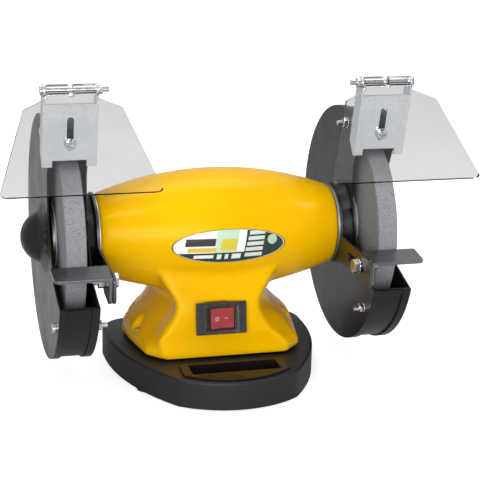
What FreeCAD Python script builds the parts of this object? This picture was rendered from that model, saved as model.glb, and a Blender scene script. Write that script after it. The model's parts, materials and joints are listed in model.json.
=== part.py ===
import FreeCAD, Part
import math
import os
import Sketcher
from FreeCAD import Placement, Rotation, Vector

# Bench grinder, 150 mm wheels. Millimetres. The row frame has its origin on the bench under the middle of
# the shaft, +X along the shaft to the right, -Y towards the user and +Z up. Pieces of the motor and of
# the wheel ends are drawn about the shaft axis and lifted by shaft_height. The right-hand pieces are
# drawn, and the left-hand ones mirror them.

DIMENSIONS = {
    # stance
    "shaft_height": (116, "bench to shaft axis"),
    "foot_drop": (2, "rubber feet below the base shell"),
    "base_height": (22, "base shell"),
    "base_wall": (3, "base shell wall"),
    "base_half_width": (85, "widest point of the base"),
    "base_front": (106.5, "front of the base, from the shaft"),
    "base_back": (58, "back of the base, from the shaft"),
    "base_nose_half": (47.5, "where the nose arc meets the side arc"),
    "base_nose_back": (90, "the same point, from the shaft"),
    "base_nose_arc": (76.6, "radius of the nose"),
    "base_side_arc": (184, "radius of the side"),
    "base_side_back": (20, "where the side arc ends"),
    "base_corner": (26, "radius of the back corners"),
    "plate_gauge": (1.5, "steel plate that closes the base"),
    "foot_radius": (9, "rubber foot"),
    "foot_half_x": (62, "feet, sideways"),
    "foot_half_y": (45, "feet, front and back"),
    "bench_hole": (3.2, "holes for the bench screws"),
    "post_radius": (6, "posts in the base"),
    "plate_screw": (1.5, "screws that hold the bottom plate"),
    "vent_pitch": (9, "slots in the bottom plate"),
    "vent_reach": (18, "half of a slot's length"),
    "vent_half": (1.5, "half of a slot's width"),
    # water tray
    "tray_back": (64.5, "back edge of the tray, from the shaft"),
    "tray_half_width": (42, "half of the tray's flange"),
    "tray_side": (86, "where the flange's front arc begins"),
    "tray_front": (102, "front of the flange"),
    "tray_front_arc": (63, "radius of the flange's front"),
    "tray_gauge": (1.6, "tray wall"),
    "basin_half_width": (35, "half of the basin's mouth"),
    "basin_front": (86, "front of the basin's mouth"),
    "basin_depth": (14, "depth of the basin"),
    "tray_play": (0.6, "gap between the basin and the base"),
    # housing
    "barrel_radius": (49.3, "barrel at the middle"),
    "barrel_half": (96.3, "half of the barrel's length"),
    "barrel_arc": (267, "radius of the barrel's bulge"),
    "barrel_edge": (3, "rounding of the barrel's ends"),
    "housing_wall": (3, "casting wall"),
    "spigot_radius": (28, "bore in the barrel's ends"),
    "spigot_length": (13.3, "length of that bore"),
    "lug_length": (13, "lugs that take the end shield screws"),
    "lug_inner": (20, "inner face of the lugs"),
    "panel_tilt": (8, "front panel, from vertical"),
    "switch_drop": (57.5, "switch below the shaft"),
    "switch_front": (54.5, "panel in front of the shaft at the switch"),
    "switch_shift": (-6, "switch centre, sideways"),
    "pocket_x": (62, "pockets of the housing screws, sideways"),
    "pocket_front": (7, "the same, to the front"),
    "pocket_back": (30, "the same, to the back"),
    "pocket_radius": (5, "pocket"),
    "pocket_floor": (10, "lug under the pocket"),
    "badge_half_x": (45.5, "badge, half of its length"),
    "badge_half_z": (13.5, "badge, half of its height"),
    "badge_shift": (1.4, "badge centre, sideways"),
    "badge_gauge": (0.7, "badge"),
    "bezel_half_x": (20.1, "half of the switch bezel's width"),
    "bezel_half_z": (12.8, "half of its height"),
    "bezel_gauge": (2.2, "bezel in front of the panel"),
    "rocker_half": (8.2, "half of the rocker's height"),
    "gland_drop": (13, "cable gland above the housing's foot"),
    "gland_flats": (17, "cable gland across its flats"),
    "capacitor_radius": (14, "run capacitor"),
    "small_nut": (7, "M4 nut across its flats"),
    "small_shank": (2, "M4 screw"),
    "rest_nut_flats": (10, "M6 nut across its flats"),
    # end shield, bearing and shaft
    "shield_flange": (1, "end shield's flange on the barrel's end"),
    "pilot_radius": (13.9, "pilot that centres the rest arm and the guard"),
    "screw_circle": (23.5, "circle of the guard mounting screws"),
    "bearing_radius": (17.5, "6202 outside"),
    "bearing_bore": (7.5, "6202 bore"),
    "bearing_width": (11, "6202 width"),
    "ball_circle": (12.5, "ball circle"),
    "ball_radius": (2.9, "ball"),
    "spindle_radius": (6.35, "wheel seat"),
    "rotor_radius": (19, "rotor"),
    "rotor_half": (22, "half of the rotor's stack"),
    "air_gap": (0.35, "rotor to stator"),
    "stator_radius": (45.3, "stator"),
    "stator_half": (20, "half of the stator's stack"),
    "winding_length": (15, "end turns"),
    # wheel set
    "wheel_centre": (122, "middle of the wheel, from the middle"),
    "wheel_radius": (75, "grinding wheel"),
    "wheel_width": (16, "grinding wheel"),
    "bush_radius": (10, "bush in the wheel"),
    "blotter_gauge": (0.5, "paper blotter"),
    "blotter_radius": (27, "paper blotter"),
    "flange_radius": (25, "wheel flange"),
    "flange_width": (4.7, "wheel flange"),
    "nut_width": (7.5, "spindle nut"),
    "nut_flats": (19, "spindle nut across its flats"),
    # guard
    "guard_radius": (96, "outside of the guard's rims"),
    "guard_half": (15.25, "half of the guard's width"),
    "guard_gauge": (1.2, "guard sheet"),
    "rim_width": (6, "rim of each side plate"),
    "rim_play": (0.2, "rim to band"),
    "dish_radius": (31, "pressed boss on each side plate"),
    "hub_radius": (20, "domed cap of the outer plate"),
    "hub_rise": (13.5, "height of the dome"),
    "cone_rise": (4.25, "cone under the dome"),
    "opening_low": (39, "lower edge of the opening, under the shaft"),
    "opening_heel": (58, "heel of the opening, from the shaft"),
    "opening_heel_low": (21.5, "the same, under the shaft"),
    "opening_back": (28, "back of the opening, from the shaft"),
    "opening_knee": (18, "where the opening turns up"),
    "opening_top": (54, "where the opening turns forward"),
    "guard_screw_circle": (86, "screws that hold the guard together"),
    "guard_screw_angle": (-37, "first of them, from the front upwards"),
    "box_lip_angle": (19.3, "folded edge of the guard's box, under the front"),
    "box_lip_height": (3.6, "folded edge of the guard's box"),
    # spark bracket
    "bracket_lean": (14, "lean of the bracket, from vertical"),
    "bracket_foot_y": (-41.9, "foot of the bracket, front face"),
    "bracket_foot_z": (64.9, "the same, above the shaft"),
    "bracket_half": (20.5, "half of the bracket's width"),
    "bracket_length": (51.4, "front plate"),
    "bracket_gauge": (1.8, "sheet"),
    "bracket_depth": (13, "side flanges"),
    "notch_half": (12.8, "notch for the wheel"),
    "notch_height": (5.4, "notch for the wheel"),
    "slot_half": (2.5, "adjusting slot"),
    "slot_low": (13.5, "lower end of the slot"),
    "slot_high": (40.9, "upper end of the slot"),
    "bracket_screw_up": (19.3, "screw above the bracket's foot"),
    "hinge_up": (61.2, "hinge above the bracket's foot"),
    "hinge_back": (4.9, "hinge behind the bracket's front"),
    "hinge_bolt": (2, "radius of the hinge bolt"),
    "hinge_play": (0.06, "hinge bolt in its knuckles"),
    "ear_radius": (4.6, "top of the ears"),
    # eye shield
    "knuckle_radius": (4.3, "knuckles"),
    "knuckle_half": (18.1, "half of the knuckles' width"),
    "knuckle_gap": (1.75, "half of the gap between them"),
    "ear_clear": (6.8, "where the sheet widens, from the hinge"),
    "shield_gauge": (2.4, "clear sheet"),
    "neck_slope": (47.4, "upper leaf, from vertical"),
    "neck_length": (16.7, "upper leaf"),
    "neck_half": (36.3, "half width at the bend"),
    "leaf_slope": (39, "main leaf, from vertical"),
    "leaf_length": (69.5, "main leaf"),
    "leaf_half": (59.2, "half width at the lower edge"),
    "leaf_corner": (7, "lower corners"),
    # tool rest
    "arm_gauge": (2.3, "rest arm"),
    "arm_disc": (33, "disc of the arm"),
    "arm_top": (-2.5, "upper edge"),
    "arm_low": (-25, "lower edge"),
    "arm_reach": (104, "front end, from the shaft"),
    "rest_bolt_y": (-80, "rest bolt"),
    "rest_bolt_z": (-13, "rest bolt"),
    "rest_bolt_radius": (3, "rest bolt"),
    "rest_slot_back": (52, "back end of the arm's slot"),
    "rest_slot_front": (90, "front end of the arm's slot"),
    "rest_tilt": (7, "rest, front edge down"),
    "rest_gauge": (2.5, "table and leg"),
    "rest_outer": (142.3, "outer end of the table"),
    "rest_front": (21.4, "front edge before the bolt"),
    "rest_back": (2.5, "back edge behind the bolt"),
    "rest_rise": (11.3, "table above the bolt"),
    "leg_back": (8, "back of the leg behind the bolt"),
    "leg_drop": (11, "leg under the bolt"),
    "rest_corner": (5, "outer corners of the table"),
}

doc = FreeCAD.newDocument("bench_grinder")
sheet = doc.addObject("Spreadsheet::Sheet", "Dims")


def value_of(amount):
    return amount.value if isinstance(amount, Size) else float(amount)


def words_of(amount):
    return amount.words if isinstance(amount, Size) else repr(float(amount))


class Size:
    # a size with its value and the sheet expression that gives it
    def __init__(self, value, words):
        self.value = value
        self.words = words

    def __add__(self, other):
        return Size(self.value + value_of(other), f"({self.words} + {words_of(other)})")

    def __radd__(self, other):
        return self + other

    def __sub__(self, other):
        return Size(self.value - value_of(other), f"({self.words} - {words_of(other)})")

    def __rsub__(self, other):
        return Size(value_of(other) - self.value, f"({words_of(other)} - {self.words})")

    def __mul__(self, other):
        return Size(self.value * value_of(other), f"({self.words} * {words_of(other)})")

    def __rmul__(self, other):
        return self * other

    def __truediv__(self, other):
        return Size(self.value / value_of(other), f"({self.words} / {words_of(other)})")

    def __neg__(self):
        return Size(-self.value, f"(-1 * {self.words})")


def sine(angle):
    return Size(math.sin(math.radians(value_of(angle))), f"sin({words_of(angle)})")


def cosine(angle):
    return Size(math.cos(math.radians(value_of(angle))), f"cos({words_of(angle)})")


def root(amount):
    return Size(math.sqrt(value_of(amount)), f"sqrt({words_of(amount)})")


class Namespace:
    pass


d = Namespace()
for row, (alias, (amount, note)) in enumerate(DIMENSIONS.items(), start=1):
    sheet.set(f"A{row}", note)
    sheet.set(f"B{row}", str(amount))
    sheet.setAlias(f"B{row}", alias)
    setattr(d, alias, Size(float(amount), f"Dims.{alias}"))
doc.recompute()

X_AXIS = Vector(1, 0, 0)
Y_AXIS = Vector(0, 1, 0)
Z_AXIS = Vector(0, 0, 1)
nodes = []


def bind(item, **sizes):
    for name, amount in sizes.items():
        if isinstance(amount, Size):
            item.setExpression(name, amount.words)
        else:
            setattr(item, name, amount)
    return item


def place(item, x=0, y=0, z=0, axis=X_AXIS, angle=0):
    where = Vector(value_of(x), value_of(y), value_of(z))
    item.Placement = Placement(where, Rotation(axis, value_of(angle)))
    for name, amount in (("x", x), ("y", y), ("z", z)):
        if isinstance(amount, Size):
            item.setExpression(f"Placement.Base.{name}", amount.words)
    if isinstance(angle, Size):
        item.setExpression("Placement.Rotation.Angle", angle.words)
    return item


def keep(item, label):
    item.Label = label
    nodes.append(item)
    return item


def on_shaft(item):
    return place(item, z=d.shaft_height)


# ---- sketches

def new_body(name):
    return doc.addObject("PartDesign::Body", name)


def new_sketch(body, role="XY_Plane", offset=None):
    sketch = body.newObject("Sketcher::SketchObject", body.Name + "_sketch")
    plane = [feature for feature in body.Origin.OriginFeatures if feature.Role == role][0]
    sketch.AttachmentSupport = [(plane, "")]
    sketch.MapMode = "FlatFace"
    if offset is not None:
        sketch.AttachmentOffset = Placement(Vector(0, 0, value_of(offset)), Rotation())
        if isinstance(offset, Size):
            sketch.setExpression("AttachmentOffset.Base.z", offset.words)
    return sketch


def fix_point(sketch, curve, end, x, y):
    for kind, axis, amount in (("DistanceX", -2, x), ("DistanceY", -1, y)):
        if abs(value_of(amount)) < 1e-9:
            sketch.addConstraint(Sketcher.Constraint("PointOnObject", curve, end, axis))
            continue
        index = sketch.addConstraint(Sketcher.Constraint(kind, -1, 1, curve, end, value_of(amount)))
        if isinstance(amount, Size):
            sketch.setExpression(f"Constraints[{index}]", amount.words)


def fix_radius(sketch, curve, radius):
    index = sketch.addConstraint(Sketcher.Constraint("Radius", curve, value_of(radius)))
    if isinstance(radius, Size):
        sketch.setExpression(f"Constraints[{index}]", radius.words)


def arc_between(start, end, radius):
    # the short arc from start to end, anticlockwise for a positive radius
    size = abs(radius)
    turn = 1 if radius > 0 else -1
    chord = end - start
    rise = math.sqrt(max(size * size - chord.Length ** 2 / 4, 0))
    middle = start + chord * 0.5
    side = Vector(-chord.y, chord.x, 0)
    side.normalize()
    centre = middle + side * (rise * turn)
    first = math.atan2(start.y - centre.y, start.x - centre.x)
    last = math.atan2(end.y - centre.y, end.x - centre.x)
    if turn < 0:
        first, last = last, first
    return Part.ArcOfCircle(Part.Circle(centre, Z_AXIS, size), first, last)


def outline(sketch, points):
    # a closed outline: (x, y) starts a straight edge and (x, y, radius) starts an arc
    spots = [Vector(value_of(point[0]), value_of(point[1]), 0) for point in points]
    edges = []
    for index, point in enumerate(points):
        start = spots[index]
        end = spots[(index + 1) % len(points)]
        if len(point) == 2:
            curve = sketch.addGeometry(Part.LineSegment(start, end), False)
            edges.append((curve, 1, 2))
            continue
        curve = sketch.addGeometry(arc_between(start, end, value_of(point[2])), False)
        clockwise = value_of(point[2]) < 0
        fix_radius(sketch, curve, -point[2] if clockwise else point[2])
        edges.append((curve, 2, 1) if clockwise else (curve, 1, 2))
    for index, (curve, first, last) in enumerate(edges):
        after, after_first, after_last = edges[(index + 1) % len(edges)]
        sketch.addConstraint(Sketcher.Constraint("Coincident", curve, last, after, after_first))
        fix_point(sketch, curve, first, points[index][0], points[index][1])
    return sketch


def circle(sketch, x, y, radius):
    spot = Vector(value_of(x), value_of(y), 0)
    curve = sketch.addGeometry(Part.Circle(spot, Z_AXIS, value_of(radius)), False)
    fix_radius(sketch, curve, radius)
    fix_point(sketch, curve, 3, x, y)
    return sketch


def slot_outline(sketch, x, low, high, half):
    # an upright slot with round ends
    return outline(sketch, [
        (x + half, low + half), (x + half, high - half, half), (x, high, half),
        (x - half, high - half), (x - half, low + half, half), (x, low, half)])


# ---- features

def pad(body, sketch, length, symmetric=False, reverse=False, taper=None):
    feature = body.newObject("PartDesign::Pad", body.Name + "_pad")
    feature.Profile = sketch
    bind(feature, Length=length)
    if symmetric:
        feature.SideType = "Symmetric"
    feature.Reversed = reverse
    if taper is not None:
        bind(feature, TaperAngle=taper)
    return feature


def pocket(body, sketch, length=None, symmetric=False, reverse=False):
    feature = body.newObject("PartDesign::Pocket", body.Name + "_pocket")
    feature.Profile = sketch
    if length is None:
        feature.Type = "ThroughAll"
    else:
        bind(feature, Length=length)
    if symmetric:
        feature.SideType = "Symmetric"
    feature.Reversed = reverse
    return feature


def turned(name, points, role="XZ_Plane", axis="H_Axis"):
    # a body turned about the sketch's horizontal axis (X) or its vertical one (Z)
    body = new_body(name)
    sketch = outline(new_sketch(body, role), points)
    feature = body.newObject("PartDesign::Revolution", name + "_turn")
    feature.Profile = sketch
    feature.ReferenceAxis = (sketch, [axis])
    feature.Angle = 360
    return body


def rounded(body, radius, choose):
    # rounds the edges that choose(edge) picks
    doc.recompute()
    picked = [f"Edge{index}" for index, edge in enumerate(body.Shape.Edges, start=1) if choose(edge)]
    last = body.Tip
    feature = body.newObject("PartDesign::Fillet", body.Name + "_round")
    feature.Base = (last, picked)
    bind(feature, Radius=radius)
    return feature


def upright(edge):
    return abs(edge.tangentAt(edge.FirstParameter).z) > 0.99 and edge.Curve.TypeId == "Part::GeomLine"


def cylinder(name, radius, length, x=0, y=0, z=0, axis=Z_AXIS):
    # a cylinder from a point along an axis
    turns = {(0, 0, 1): (X_AXIS, 0), (1, 0, 0): (Y_AXIS, 90), (-1, 0, 0): (Y_AXIS, -90),
        (0, -1, 0): (X_AXIS, 90),
             (0, 1, 0): (X_AXIS, -90), (0, 0, -1): (X_AXIS, 180)}
    about, angle = turns[tuple(int(part) for part in axis)]
    item = doc.addObject("Part::Cylinder", name)
    bind(item, Radius=radius, Height=length)
    return place(item, x, y, z, about, angle)


def hexagon(name, flats, length, x, y, z, axis=X_AXIS):
    item = doc.addObject("Part::Prism", name)
    bind(item, Circumradius=flats / math.sqrt(3), Height=length)
    turns = {(1, 0, 0): (Y_AXIS, 90), (0, 0, 1): (X_AXIS, 0), (0, 1, 0): (X_AXIS, -90),
        (0, -1, 0): (X_AXIS, 90)}
    about, angle = turns[tuple(int(part) for part in axis)]
    return place(item, x, y, z, about, angle)


def block(name, x, y, z, length, width, height):
    item = doc.addObject("Part::Box", name)
    bind(item, Length=length, Width=width, Height=height)
    return place(item, x, y, z)


def fused(name, *pieces):
    item = doc.addObject("Part::MultiFuse", name)
    item.Shapes = list(pieces)
    return item


def cut(name, base, *tools):
    item = doc.addObject("Part::Cut", name)
    item.Base = base
    item.Tool = tools[0] if len(tools) == 1 else fused(name + "_tools", *tools)
    return item


def common(name, *pieces):
    item = doc.addObject("Part::MultiCommon", name)
    item.Shapes = list(pieces)
    return item


def group(name, pieces):
    item = doc.addObject("Part::Compound", name)
    item.Links = list(pieces)
    return item


def mirrored(source, name):
    item = doc.addObject("Part::Mirroring", name)
    item.Source = source
    item.Normal = X_AXIS
    item.Base = Vector(0, 0, 0)
    return item


def both_sides(right, label):
    keep(right, "right_" + label)
    keep(mirrored(right, "left_" + label), "left_" + label)


def round_the_shaft(circle_radius, first_angle, count):
    # places (y, z) on a circle about the shaft, angles from the front upwards
    for index in range(count):
        angle = first_angle + 360 / count * index
        yield -1 * (circle_radius * cosine(angle)), circle_radius * sine(angle)


# ---- base

base_top = d.foot_drop + d.base_height


def base_outline(inset):
    half = d.base_half_width - inset
    back = d.base_back - inset
    corner = d.base_corner - inset
    nose = d.base_nose_half - inset * 0.85
    nose_back = -1 * (d.base_nose_back - inset * 0.6)
    side_back = d.base_side_back
    nose_arc = d.base_nose_arc - inset
    side_arc = d.base_side_arc - inset
    return [
        (-nose, nose_back, nose_arc), (nose, nose_back, side_arc), (half, side_back),
        (half, back - corner, corner), (half - corner, back), (-half + corner, back, corner),
        (-half, back - corner), (-half, side_back, side_arc)]


def tray_outline(outset):
    half = d.tray_half_width + outset
    side = -1 * (d.tray_side + outset)
    return [(-half, -1 * (d.tray_back - outset)), (-half, side, d.tray_front_arc + outset), (half, side),
            (half, -1 * (d.tray_back - outset))]


def basin_outline(outset):
    half = d.basin_half_width + outset
    front = -1 * (d.basin_front + outset)
    back = -1 * (d.tray_back + d.tray_gauge * 1.5 - outset)
    return [(-half, back), (-half, front), (half, front), (half, back)]


def foot_places():
    for x in (-d.foot_half_x, d.foot_half_x):
        for y in (-d.foot_half_y, d.foot_half_y):
            yield x, y


def plate_screw_places():
    for x, y in ((49, -62), (35, 46)):
        yield -x, y
        yield x, y


def pocket_places():
    for x in (-d.pocket_x, d.pocket_x):
        for y in (-d.pocket_front, d.pocket_back):
            yield x, y


basin_shell = d.tray_gauge + d.tray_play

base = new_body("base_skin")
pad(base, outline(new_sketch(base, offset=d.foot_drop), base_outline(0)), d.base_height)
rounded(base, 2, lambda edge: edge.BoundBox.ZMin > value_of(base_top) - 0.01)
pocket(base, outline(new_sketch(base, offset=d.foot_drop), base_outline(d.base_wall)),
    d.base_height - d.base_wall,
       reverse=True)
pocket(base, outline(new_sketch(base, offset=base_top), basin_outline(basin_shell)), d.base_wall * 2)
# finger gap under the front lip of the tray
finger_half = d.basin_half_width - 5
finger_side = -1 * (d.tray_side + 8.5)
pocket(base, outline(new_sketch(base, offset=base_top), [
    (-finger_half, -d.basin_front), (-finger_half, finger_side, d.tray_front_arc * 0.93),
    (finger_half, finger_side), (finger_half, -d.basin_front)]), d.base_wall / 2)
# opening under the housing for the wiring
pocket(base, outline(new_sketch(base, offset=base_top), [(-30, -35), (30, -35), (30, 32), (-30, 32)]),
       d.base_wall * 2)
screw_holes = new_sketch(base, offset=base_top)
for hole_x, hole_y in pocket_places():
    circle(screw_holes, hole_x, hole_y, 2.2)
pocket(base, screw_holes, d.base_wall * 2)
post_gap = 0.3
post_start = d.foot_drop + d.plate_gauge + post_gap
post_length = base_top - d.base_wall / 2 - post_start
posts = [cylinder(f"foot_post_{index}", d.post_radius, post_length, x, y, post_start)
         for index, (x, y) in enumerate(foot_places())]
posts += [cylinder(f"plate_post_{index}", d.post_radius - 1.5, post_length, x, y, post_start)
          for index, (x, y) in enumerate(plate_screw_places())]
posts += [cylinder(f"housing_boss_{index}", d.post_radius - 1, post_length, x, y, post_start)
          for index, (x, y) in enumerate(pocket_places())]
post_bores = [cylinder(f"bench_bore_{index}", d.bench_hole, d.base_height - d.base_wall * 1.5, x, y,
    d.foot_drop)
              for index, (x, y) in enumerate(foot_places())]
post_bores += [cylinder(f"plate_bore_{index}", d.plate_screw + 0.1, d.base_height - d.base_wall * 2, x,
    y, d.foot_drop)
               for index, (x, y) in enumerate(plate_screw_places())]
post_bores += [cylinder(f"boss_bore_{index}", 2.2, d.base_height + 1, x, y, d.foot_drop)
               for index, (x, y) in enumerate(pocket_places())]
keep(cut("base_with_posts", fused("base_and_posts", base, *posts), *post_bores), "base_shell")

bottom = new_body("base_bottom_plate")
plate_play = d.base_wall + 0.4
pad(bottom, outline(new_sketch(bottom, offset=d.foot_drop + 0.2), base_outline(plate_play)),
    d.plate_gauge)
plate_holes = new_sketch(bottom, offset=d.foot_drop + 0.2)
for hole_x, hole_y in foot_places():
    circle(plate_holes, hole_x, hole_y, d.bench_hole)
for hole_x, hole_y in plate_screw_places():
    circle(plate_holes, hole_x, hole_y, d.plate_screw + 0.3)
pocket(bottom, plate_holes, d.plate_gauge * 2, symmetric=True)
vents = new_sketch(bottom, offset=d.foot_drop + 0.2)
for step in range(-2, 3):
    slot_outline(vents, d.vent_pitch * step, -d.vent_reach, d.vent_reach, d.vent_half)
pocket(bottom, vents, d.plate_gauge * 2, symmetric=True)
keep(bottom, "base_bottom_plate")

feet = []
for index, (foot_x, foot_y) in enumerate(foot_places()):
    pad_piece = cylinder(f"foot_pad_{index}", d.foot_radius, d.foot_drop, foot_x, foot_y, 0)
    hole = cylinder(f"foot_hole_{index}", d.bench_hole, d.foot_drop * 3, foot_x, foot_y, -d.foot_drop)
    feet.append(cut(f"foot_{index}", pad_piece, hole))
keep(group("rubber_feet", feet), "rubber_feet")
plate_screws = []
for index, (screw_x, screw_y) in enumerate(plate_screw_places()):
    head = cylinder(f"plate_screw_head_{index}", 2.8, 1.2, screw_x, screw_y, d.foot_drop + 0.2 - 1.2)
    shank = cylinder(f"plate_screw_shank_{index}", d.plate_screw, 11, screw_x, screw_y, d.foot_drop)
    plate_screws.append(fused(f"plate_screw_{index}", head, shank))
keep(group("base_plate_screws", plate_screws), "base_plate_screws")

tray = new_body("water_tray")
pad(tray, outline(new_sketch(tray, offset=base_top), tray_outline(0)), d.tray_gauge)
pad(tray, outline(new_sketch(tray, offset=base_top + d.tray_gauge / 2), basin_outline(d.tray_gauge)),
    d.basin_depth + d.tray_gauge / 2, reverse=True)
pocket(tray, outline(new_sketch(tray, offset=base_top + d.tray_gauge), basin_outline(0)), d.basin_depth)
rounded(tray, 2.2, lambda edge: upright(edge) and edge.Length < 2)
keep(tray, "water_tray")

# ---- motor housing

foot_bottom = base_top - d.shaft_height


def barrel_profile(inset, grow=0.0):
    # half of the barrel's section, turned about the shaft
    arc = d.barrel_arc - inset
    end = d.barrel_half + grow
    edge = d.barrel_edge
    at = end - edge
    sag = arc - root(arc * arc - at * at)
    radius = d.barrel_radius - inset - sag
    return [(-end, 0), (end, 0), (end, radius - edge, edge), (at, radius, arc), (-at, radius, edge),
            (-end, radius - edge)]


# The pedestal's sections, each at a depth above the foot: the front panel's left and right edges and its
# middle, the point where each flank is drawn in, the side at the shaft and behind it, and the back
# corner.
foot_lift = d.shaft_height - base_top
SECTIONS = (
    (0, 47, 47, 55.5, 60, 37, 66.5, 68.5, 57, 46),
    (3, 50, 50, 58.5, 63.5, 39.5, 69.8, 71.5, 60, 49),
    (8.5, 52, 50, 57.8, 62.5, 38, 69.3, 71, 59.5, 49),
    (15, 55, 44, 57, 57.5, 32, 66.5, 69.5, 58, 49),
    (22, 51.5, 35, 56.2, 52, 30, 60.5, 63, 52, 48),
    (28, 48, 30, 55.4, 46, 29, 53.5, 56, 47.5, 46.5),
    (34, 44, 27, 54.6, 40, 28, 46.5, 50.5, 45, 45),
    (39, 41.5, 25, 53.9, 37, 28, 43.5, 47, 44, 43.5),
    (45, 41, 25, 52.3, 37, 26, 44, 48, 45, 42),
    (52, 44, 29, 50, 42, 24, 48, 50, 46, 40),
    (60, 50, 36, 47.6, 46, 20, 50, 50, 46, 36),
    (72, 54, 44, 45, 48, 15, 48, 48, 44, 30),
)
side_front = -2.0
side_rear = 20.0


def pedestal(name, inset, drop):
    body = new_body(name)
    rings = []
    for index, (rise, left, right, front, flank_x, flank, side, rear, back_x,
        back) in enumerate(SECTIONS):
        height = rise - foot_lift - drop if index == 0 else rise - foot_lift
        left_x = left - inset * 0.8
        right_x = right - inset * 0.8
        bulge_left = d.barrel_arc - root(d.barrel_arc * d.barrel_arc - left * left)
        bulge_right = d.barrel_arc - root(d.barrel_arc * d.barrel_arc - right * right)
        flank_out = flank_x - inset
        flank_y = -1 * (flank - inset * 0.3)
        side_x = side - inset
        rear_x = rear - inset
        corner_x = back_x - inset * 0.8
        back_y = back - inset
        ring = new_sketch(body, offset=height)
        rings.append(outline(ring, [
            (-left_x, bulge_left + inset - front), (right_x, bulge_right + inset - front),
            (flank_out, flank_y),
            (side_x, side_front), (rear_x, side_rear), (corner_x, back_y), (-corner_x, back_y),
            (-rear_x, side_rear), (-side_x, side_front), (-flank_out, flank_y)]))
    loft = body.newObject("PartDesign::AdditiveLoft", name + "_loft")
    loft.Profile = rings[0]
    loft.Sections = rings[1:]
    loft.Ruled = True
    return body


barrel_inner_end = d.barrel_half - d.spigot_length
cavity_arc = d.barrel_arc - d.housing_wall
cavity_end = d.barrel_radius - d.housing_wall - (
    cavity_arc - root(cavity_arc * cavity_arc - barrel_inner_end * barrel_inner_end))
bore_end = d.barrel_half + 1
outer_barrel = turned("barrel_outer", barrel_profile(0))
cavity = turned("barrel_cavity", [
    (-bore_end, 0), (bore_end, 0), (bore_end, d.spigot_radius), (barrel_inner_end, d.spigot_radius),
    (barrel_inner_end, cavity_end, cavity_arc), (-barrel_inner_end, cavity_end),
    (-barrel_inner_end, d.spigot_radius), (-bore_end, d.spigot_radius)])
no_inset = Size(0, "0")
outer_pedestal = pedestal("pedestal_outer", no_inset, 0)
inner_pedestal = pedestal("pedestal_inner", d.housing_wall, 1)
skin = fused("housing_skin", outer_barrel, outer_pedestal)
hollow = cut("housing_hollow", skin, cavity, inner_pedestal)

lug_width = 9.0
lugs = []
for end_sign in (-1, 1):
    for index in range(3):
        lug_start = barrel_inner_end - d.lug_length if end_sign > 0 else -barrel_inner_end
        lug = doc.addObject("Part::Box", f"lug_{index}_{end_sign > 0}")
        bind(lug, Length=d.lug_length, Width=lug_width, Height=d.barrel_radius - d.lug_inner)
        turn = 120 * index
        across = Rotation(X_AXIS, turn).multVec(Vector(0, -lug_width / 2, 0))
        reach_y = d.lug_inner * -sine(turn) + across.y
        reach_z = d.lug_inner * cosine(turn) + across.z
        lugs.append(place(lug, lug_start, reach_y, reach_z, X_AXIS, turn))
skin_for_lugs = turned("barrel_for_lugs", barrel_profile(1))
kept_lugs = common("kept_lugs", fused("all_lugs", *lugs), skin_for_lugs)

pocket_bosses = [cylinder(f"pocket_boss_{index}", d.pocket_radius + 2.5, 30, x, y, foot_bottom)
                 for index, (x, y) in enumerate(pocket_places())]
kept_bosses = common("kept_bosses", fused("all_bosses", *pocket_bosses),
    pedestal("pedestal_for_bosses", no_inset, 0))
pocket_floor_z = foot_bottom + d.pocket_floor
pockets = [cylinder(f"screw_pocket_{index}", d.pocket_radius, 30, x, y, pocket_floor_z)
           for index, (x, y) in enumerate(pocket_places())]
pocket_bores = [cylinder(f"pocket_bore_{index}", 2.2, 30, x, y, foot_bottom - 1)
                for index, (x, y) in enumerate(pocket_places())]
lug_bores = []
for end_sign in (-1, 1):
    for index, (y, z) in enumerate(round_the_shaft(d.screw_circle, 90, 3)):
        start = barrel_inner_end - d.lug_length - 1
        if end_sign < 0:
            start = -start
        lug_bores.append(cylinder(f"lug_bore_{index}_{end_sign > 0}", 2.1, d.lug_length + 2, start, y, z,
                                  X_AXIS * end_sign))


def on_panel(item, depth=0.0, across=0.0, up=0.0):
    # seats a piece on the front panel: across it, up it, and depth mm behind its face
    y = -d.switch_front + depth * cosine(d.panel_tilt) + up * sine(d.panel_tilt)
    z = -d.switch_drop + up * cosine(d.panel_tilt) - depth * sine(d.panel_tilt)
    return place(item, d.switch_shift + across, y, z, X_AXIS, -d.panel_tilt)


def panel_block(name, half_x, half_z, front, back):
    # a block square to the front panel, between two depths
    item = doc.addObject("Part::Box", name)
    bind(item, Length=half_x * 2, Width=back - front, Height=half_z * 2)
    return on_panel(item, front, -half_x, -half_z)


switch_hole = panel_block("switch_hole", 13.7, 11.2, -8.0, 9.0)
gland_z = foot_bottom + d.gland_drop
gland_hole = cylinder("gland_hole", 6.1, 20, 0, 40, gland_z, Y_AXIS)
housing = cut("housing_finished", fused("housing_with_lugs", hollow, kept_lugs, kept_bosses),
              *pockets, *pocket_bores, *lug_bores, switch_hole, gland_hole)
keep(on_shaft(housing), "motor_housing")

housing_screws = []
for index, (x, y) in enumerate(pocket_places()):
    shank = cylinder(f"housing_screw_shank_{index}", 2, d.pocket_floor + 9, x, y,
        pocket_floor_z - d.pocket_floor - 9)
    head = cylinder(f"housing_screw_head_{index}", 3.7, 2.8, x, y, pocket_floor_z)
    recess_a = block(f"recess_a_{index}", x - 2.2, y - 0.5, pocket_floor_z + 1.4, 4.4, 1, 2)
    recess_b = block(f"recess_b_{index}", x - 0.5, y - 2.2, pocket_floor_z + 1.4, 1, 4.4, 2)
    housing_screws.append(cut(f"housing_screw_{index}", fused(f"housing_screw_body_{index}", shank, head),
                              recess_a, recess_b))
keep(on_shaft(group("housing_screws", housing_screws)), "housing_screws")

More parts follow.
